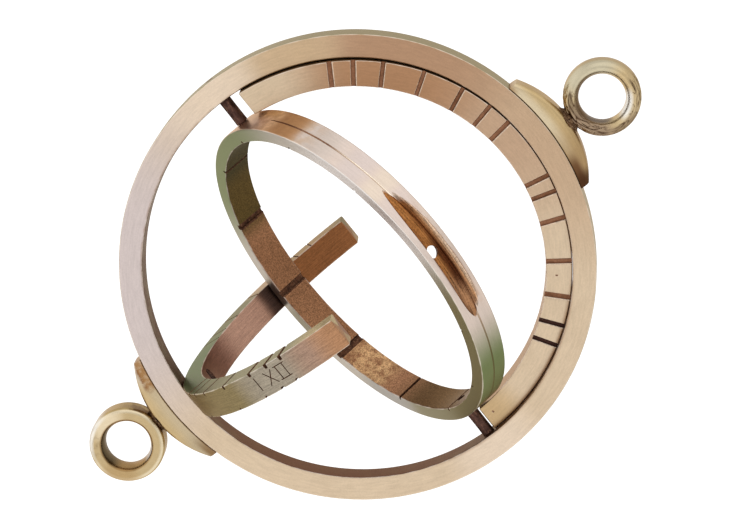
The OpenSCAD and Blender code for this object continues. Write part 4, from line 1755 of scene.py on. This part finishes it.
@dataclass
class Suspension:
    """A saddle on the meridian ring with an eye soldered to its crown.

    Attributes:
        side: End of the loop axis.
        rim_round: Rounding of the eye's rim, across and along its bore.
        bore_round: Rounding of the mouths of its bore, across and along it.
        scored: Stretches of the eye with file marks.
    """

    side: Side
    rim_round: tuple[float, float]
    bore_round: tuple[float, float]
    scored: tuple[FileMarks, ...]

    # Sizes that both ends share; the solder's are radii at heights over the crown and the eye's foot
    saddle_length: float = 20.6
    crown: float = 43.45
    tip: float = 1.5
    tip_gap: float = 0.03
    crown_gap: float = 0.06
    brow: float = 0.95
    brow_share: float = 0.62
    rim: float = 0.12
    neck: float = 3.64
    neck_seat: float = 1.1
    screw_hole: float = 1.64
    screw_tip: float = 41.65
    root_gap: float = 0.02
    root_rise: float = -0.3
    collar_foot: tuple[tuple[float, float], ...] = ((2.5, -0.26), (2.42, -0.05), (2.1, 0.12))
    collar_neck: tuple[tuple[float, float], ...] = ((1.9, 0.3), (1.75, 0.9), (1.7, 1.5))

    # Fineness of half a saddle, its brow, the eye round its bore, its roundings and the solder
    HALF_STATIONS = 30
    BROW_STEPS = 6
    EYE_STEPS = 180
    ROUND_STEPS = 10
    COLLAR_STEPS = 72

    # Heights over the crown between which the solder is lumpy, and its lumps' scale, height and noise
    LUMPY = (-0.28, 1.0)
    LUMP_SCALE = 1.3
    LUMP_HEIGHT = 0.22
    LUMP_NOISE = (0.6, 2.0, 3)

    # File marks: rise off the bore, scale round the eye and over its wall, sharpness, finer marks,
    # strength, shade and depth
    MARK_RISE = 2.0
    MARK_TURN = 1.3
    MARK_SCALE = 1.2
    MARK_SHARP = 6.0
    FINE_SCALE = 1.9
    FINE_SHARE = 0.8
    MARK_GAIN = 2.5
    MARK_SHADE = 0.95
    MARK_DEPTH = 0.2

    # Angle in degrees above which an edge of an eye or its solder stays sharp
    EYE_SHARP = 60.0

    @staticmethod
    def bow(length: float, rise: float) -> float:
        """Returns the radius of the circle that rises that far over a chord."""
        return (length * length / 4 + rise * rise) / (2 * rise)

    def pose(self) -> Matrix:
        """Returns the turn that brings what stands on +Z to this end of the loop axis, with its lean."""
        return loop_end(self.side) @ turned(y=LEAN[self.side])

    def saddle(self, shop: Workshop) -> None:
        """Makes, dresses and hands over the saddle, a lens of metal with a rolled brow.

        Args:
            shop: Where pieces are made.
        """
        half = self.saddle_length / 2
        foot = math.sqrt(MERIDIAN.outer ** 2 - half ** 2)
        top_bow = self.bow(self.saddle_length, self.crown - foot - self.tip)
        hollow = MERIDIAN.outer + self.crown_gap
        low_bow = self.bow(self.saddle_length, hollow - foot - self.tip_gap)
        shape = bmesh.new()
        loops = []
        for k in range(-self.HALF_STATIONS, self.HALF_STATIONS + 1):
            x = half * math.sin(math.pi / 2 * k / self.HALF_STATIONS)
            top = self.crown - top_bow + math.sqrt(top_bow ** 2 - x * x)
            low = hollow - low_bow + math.sqrt(low_bow ** 2 - x * x)
            trim = self.rim if abs(k) == self.HALF_STATIONS else 0.0
            section = self._section(low + trim, top - trim, trim)
            loops.append([shape.verts.new((x, y, z)) for y, z in section])
        name = self.side.name.lower()
        metal = shop.finishes.saddles[self.side]
        obj = shop.object_of(name + "_saddle_brass", shop.stitch(shape, loops), metal)
        cutters = [shop.bar("neck_hole", self.neck, self.crown - self.neck_seat, self.crown + OVERSHOOT,
                            Matrix.Identity(4)),
                   shop.bar("screw_hole", self.screw_hole, MERIDIAN.outer - OVERSHOOT, self.screw_tip,
                            turned(y=-LEAN[self.side]))]
        shop.cut(obj, (), cutters, shop.finishes.saw_cut, seed=2)
        shop.finish(obj, self.pose())
        shop.hand_over(obj, "frame", "yellow_brass", name + "_saddle")

    def _section(self, low: float, top: float, trim: float) -> list[tuple[float, float]]:
        """Gives a saddle's section across its length.

        Args:
            low: Height of the hollow side.
            top: Height of the crown.
            trim: How far the sides are drawn in.

        Returns:
            Places along Y and Z, in order.
        """
        half = SADDLE.width / 2 - trim
        brow = min(self.brow, self.brow_share * (top - low))
        right = [(half - self.rim, low), (half, low + self.rim)]
        for k in range(self.BROW_STEPS + 1):
            turn = math.pi / 2 * k / self.BROW_STEPS
            right.append((half - brow + brow * math.cos(turn), top - brow + brow * math.sin(turn)))
        return right + [(-y, z) for y, z in reversed(right)]

    def eye(self, shop: Workshop) -> None:
        """Makes, dresses and hands over the eye with its file marks.

        Args:
            shop: Where pieces are made.
        """
        name = self.side.name.lower()
        shape = shop.lathe(self._eye_section(), self.EYE_STEPS, ring=True)
        obj = shop.object_of(name + "_eye_brass", shape, shop.finishes.eyes[self.side])
        obj.data.transform(turned(x=90.0))
        self._score(obj)
        shop.finish(obj, self.pose() @ Matrix.Translation((0.0, 0.0, EYE_HEIGHT)), self.EYE_SHARP)
        shop.hand_over(obj, "frame", "yellow_brass", name + "_eye")

    def solder(self, shop: Workshop) -> None:
        """Makes, dresses and hands over the lumpy solder under the eye.

        Args:
            shop: Where pieces are made.
        """
        foot = EYE_HEIGHT - EYE.outer
        root = self.neck / 2 - self.root_gap
        profile = [(root, self.crown - self.neck_seat), (root, self.crown + self.root_rise)]
        profile += [(radius, self.crown + rise) for radius, rise in self.collar_foot]
        profile += [(radius, foot + rise) for radius, rise in self.collar_neck]
        collar = shop.lathe(profile, self.COLLAR_STEPS)
        lowest, highest = self.LUMPY
        for vert in collar.verts:
            if lowest < vert.co.z - self.crown < highest:
                lump = noise.fractal(vert.co * self.LUMP_SCALE, *self.LUMP_NOISE)
                vert.co += Vector((vert.co.x, vert.co.y, 0.0)).normalized() * self.LUMP_HEIGHT * lump
        obj = shop.object_of(self.side.name.lower() + "_solder", collar, shop.finishes.solder)
        shop.finish(obj, self.pose(), self.EYE_SHARP)
        shop.hand_over(obj, "frame", "yellow_brass")

    def _eye_section(self) -> list[tuple[float, float]]:
        """Gives the eye's section.

        Returns:
            Radius and place along the bore of each corner, in order round the section.
        """
        half = EYE.width / 2
        rim, rim_deep = self.rim_round
        bore, bore_deep = self.bore_round
        turns = [math.pi / 2 * k / self.ROUND_STEPS for k in range(self.ROUND_STEPS + 1)]
        points = [(EYE.outer - rim * (1.0 - math.sin(t)), -half + rim_deep * (1.0 - math.cos(t)))
                  for t in turns]
        points += [(radius, -deep) for radius, deep in reversed(points)]
        mouth = [(EYE.inner + bore * (1.0 - math.sin(t)), half - bore_deep * (1.0 - math.cos(t)))
                 for t in turns]
        return points + mouth + [(radius, -deep) for radius, deep in reversed(mouth)]

    def _score(self, obj: bpy.types.Object) -> None:
        """Splits the eye finely and presses file marks into its scored stretches.

        Args:
            obj: The eye, about the middle of its bore.
        """
        shape = bmesh.new()
        shape.from_mesh(obj.data)
        bmesh.ops.subdivide_edges(shape, edges=shape.edges, cuts=1, use_grid_fill=True)
        shape.normal_update()
        scored = shape.verts.layers.float.new("scored")
        for vert in shape.verts:
            angle = math.degrees(math.atan2(vert.co.z, vert.co.x))
            radius = math.hypot(vert.co.x, vert.co.z)
            press = 0.0
            for stretch in self.scored:
                off = abs((angle - stretch.heading + 180.0) % 360.0 - 180.0)
                zone = max(0.0, 1.0 - (off / stretch.spread) ** 2)
                reach = min(1.0, max(0.0, self.MARK_RISE * (radius - EYE.inner - stretch.clear)))
                press = max(press, zone * stretch.strength * reach)
            if press <= 0.0:
                continue
            spot = Vector((math.radians(angle) * self.MARK_TURN, radius * self.MARK_SCALE,
                           vert.co.y * self.MARK_SCALE))
            coarse = abs(noise.noise(spot)) * self.MARK_SHARP
            fine = abs(noise.noise(spot * self.FINE_SCALE)) * self.MARK_SHARP
            ridge = max(1.0 - coarse, self.FINE_SHARE - fine, 0.0) * min(1.0, press * self.MARK_GAIN)
            vert[scored] = self.MARK_SHADE * ridge
            vert.co -= vert.normal * (self.MARK_DEPTH * ridge)
        shape.to_mesh(obj.data)
        shape.free()

    def build(self, shop: Workshop) -> None:
        """Makes the saddle, the eye and the solder between them.

        Args:
            shop: Where pieces are made.
        """
        self.saddle(shop)
        self.eye(shop)
        self.solder(shop)


@dataclass
class PolarPins:
    """The two stepped pins that the sight ring turns on."""

    shoulder: float = 2.1
    spigot: float = 1.5
    spigot_end: float = 29.2
    shoulder_in: float = 31.1
    shoulder_out: float = 35.97
    tail_end: float = 39.99
    bevel: float = 0.12
    waist: float = 0.025
    waist_steps: int = 8
    faces: int = 48

    def build(self, shop: Workshop) -> None:
        """Makes, dresses and hands over both pins.

        Args:
            shop: Where pieces are made.
        """
        thin, thick = self.spigot / 2, self.shoulder / 2
        profile = [(thin - self.bevel, self.spigot_end), (thin, self.spigot_end + self.bevel),
                   (thin, self.shoulder_in), (thick - self.bevel, self.shoulder_in),
                   (thick, self.shoulder_in + self.bevel)]
        for k in range(1, self.waist_steps):
            share = k / self.waist_steps
            rise = self.shoulder_in + (self.shoulder_out - self.shoulder_in) * share
            profile.append((thick * (1.0 - self.waist * math.sin(math.pi * share)), rise))
        profile += [(thick, self.shoulder_out), (thin, self.shoulder_out), (thin, self.tail_end)]
        for node, turn in (("left_pin", -90.0), ("right_pin", 90.0)):
            obj = shop.object_of(
                node + "_bronze", shop.lathe(profile, self.faces), shop.finishes.dark_bronze)
            shop.finish(obj, turned(y=turn))
            shop.hand_over(obj, "frame", "dark_bronze", node)


class Fasteners:
    """The pivot screws and friction washers, whose CAD shapes stay and get a finish."""

    NODES = ("upper_pivot_screw", "lower_pivot_screw", "upper_washer", "lower_washer")

    def dress(self, finishes: Finishes) -> None:
        """Gives each node the dark bronze.

        Args:
            finishes: The materials.
        """
        for node in self.NODES:
            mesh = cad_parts[node].data
            mesh.materials.clear()
            mesh.materials.append(finishes.dark_bronze)
            LOG.info("%s keeps its CAD shape", node)


@dataclass(frozen=True)
class Lamp:
    """A square soft lamp that looks at the dial.

    Attributes:
        name: Name of the lamp.
        place: Its place.
        size: Length of its sides.
        power: Its power in watts.
    """

    name: str
    place: tuple[float, float, float]
    size: float
    power: float

    def build(self, scene: bpy.types.Scene) -> None:
        """Makes the lamp.

        Args:
            scene: The scene that it lights.
        """
        data = bpy.data.lights.new(self.name, "AREA")
        data.shape = "SQUARE"
        data.size = self.size * MM
        data.energy = self.power
        lamp = bpy.data.objects.new(self.name, data)
        scene.collection.objects.link(lamp)
        lamp.location = Vector(self.place) * MM
        lamp.rotation_mode = "QUATERNION"
        lamp.rotation_quaternion = (-lamp.location).to_track_quat("-Z", "Y")


@dataclass
class Studio:
    """Camera, lamps, floor and a plain white surround."""

    camera_place: tuple[float, float, float] = (-80.92, -556.74, 114.12)
    camera_aim: tuple[float, float, float] = (0.473, 0.17, 1.181)
    camera_roll: float = 53.206
    lens: float = 168.87
    sensor: float = 36.0
    clip_start: float = 10.0
    floor_height: float = -260.0
    floor_size: float = 12000.0
    fill_level: float = 0.65
    floor_shade: float = 0.9
    floor_glow: float = 0.62
    lamps: tuple[Lamp, ...] = (Lamp("key", (-720.0, -480.0, 820.0), size=1500.0, power=2.4),
                               Lamp("side", (900.0, -500.0, 350.0), size=1200.0, power=1.0))

    def build(self) -> None:
        """Sets up the whole studio."""
        scene = bpy.context.scene
        scene.view_settings.view_transform = "Standard"
        self._camera(scene)
        self._surround(scene)
        self._floor()
        for lamp in self.lamps:
            lamp.build(scene)

    def _camera(self, scene: bpy.types.Scene) -> None:
        """Makes the camera at the photograph's viewing angle.

        Args:
            scene: The scene that it looks at.
        """
        data = bpy.data.cameras.new("camera")
        data.sensor_width = self.sensor
        data.lens = self.lens
        data.clip_start = self.clip_start * MM
        camera = bpy.data.objects.new("camera", data)
        scene.collection.objects.link(camera)
        place = Vector(self.camera_place) * MM
        look = Vector(self.camera_aim) * MM - place
        camera.location = place
        camera.rotation_mode = "QUATERNION"
        roll = Quaternion((0.0, 0.0, 1.0), math.radians(self.camera_roll))
        camera.rotation_quaternion = look.to_track_quat("-Z", "Y") @ roll
        scene.camera = camera

    @staticmethod
    def _seen(bench: NodeBench) -> bpy.types.NodeSocket:
        """Adds the test for rays from the camera and off or through shiny surfaces.

        Args:
            bench: The bench of a world or a material.

        Returns:
            A socket that is 1 for such rays and 0 for others.
        """
        rays = bench.add("ShaderNodeLightPath").outputs
        seen = bench.math("MAXIMUM", rays["Is Camera Ray"], rays["Is Glossy Ray"])
        return bench.math("MAXIMUM", seen, rays["Is Transmission Ray"])

    def _surround(self, scene: bpy.types.Scene) -> None:
        """Makes a world that is white where it is seen and a plain fill elsewhere.

        Args:
            scene: The scene that it surrounds.
        """
        world = bpy.data.worlds.new("surround")
        world.use_nodes = True
        scene.world = world
        bench = NodeBench(world.node_tree)
        bench.tree.nodes.clear()
        strength = bench.blend(self._seen(bench), self.fill_level, 1.0)
        light = bench.out("ShaderNodeBackground", {"Color": (1.0, 1.0, 1.0, 1.0), "Strength": strength})
        bench.add("ShaderNodeOutputWorld", {"Surface": light})

    def _floor(self) -> None:
        """Makes a pale floor below the dial that takes its shadow."""
        half = self.floor_size / 2
        shape = bmesh.new()
        corners = ((-half, -half), (half, -half), (half, half), (-half, half))
        shape.faces.new([shape.verts.new((x, y, self.floor_height)) for x, y in corners])
        material, bench = blank_material("pale_floor")
        matt = bench.out("ShaderNodeBsdfDiffuse", {"Color": (*(self.floor_shade,) * 3, 1.0)})
        glow = bench.out("ShaderNodeEmission", {
            "Strength": bench.math("MULTIPLY", self._seen(bench), self.floor_glow)})
        both = bench.out("ShaderNodeAddShader", {0: matt, 1: glow})
        bench.add("ShaderNodeOutputMaterial", {"Surface": both})
        floor = Workshop.object_of("floor", shape, material)
        floor.data.transform(Matrix.Scale(MM, 4))


def main() -> None:
    """Builds the studio and every sub-assembly of the dial, in order."""
    logging.basicConfig(level=logging.INFO, format="%(name)s: %(message)s")
    Studio().build()
    finishes = Finishes(FinishEffects())
    shop = Workshop(ShapeTrees(), finishes)
    MeridianRing().build(shop)
    HalfRing("calendar_arc", CALENDAR, turned(z=CALENDAR_SWING), left_height=3.25, right_height=1.4,
             right_marks=(31.2, 37.0, 45.2, 55.4, 67.4, 75.2, 79.8),
             left_marks=(97.6, 104.2, 112.6, 123.8, 134.8, 142.8, 149.2),
             right_widths=(0.85,) * 7, left_widths=(0.85,) * 7, seed=7,
             pits=((51.2, 33.3), (5.2, 33.4))).build(shop, finishes.calendar, finishes.calendar_cut)
    HalfRing("hour_arc", HOUR, turned(z=HOUR_SWING) @ loop_end(Side.LOWER), left_height=1.45,
             right_height=3.65,
             right_marks=(19.0, 24.5, 32.0, 43.5, 55.0, 62.5, 68.0),
             left_marks=(112.0, 117.5, 125.0, 136.4, 148.2, 154.6, 159.8),
             right_widths=(0.26,) * 7, left_widths=(0.42, 0.42, 0.42, 0.5, 0.72, 0.74, 0.76),
             seed=11, right_depth=0.14, left_depth=0.75, far_share=0.6, lettered=True).build(
                 shop, finishes.hour, finishes.saw_cut)
    SightRing().build(shop)
    Suspension(Side.UPPER, rim_round=(1.25, 2.0), bore_round=(1.3, 2.2),
               scored=(FileMarks(278.0, 66.0, 1.0, 0.4),
                       FileMarks(36.0, 62.0, 0.9, 1.1))).build(shop)
    Suspension(Side.LOWER, rim_round=(0.9, 0.9), bore_round=(0.8, 2.3),
               scored=(FileMarks(130.0, 40.0, 0.12, 0.5),)).build(shop)
    PolarPins().build(shop)
    Fasteners().dress(finishes)


if __name__ == "__main__":
    main()
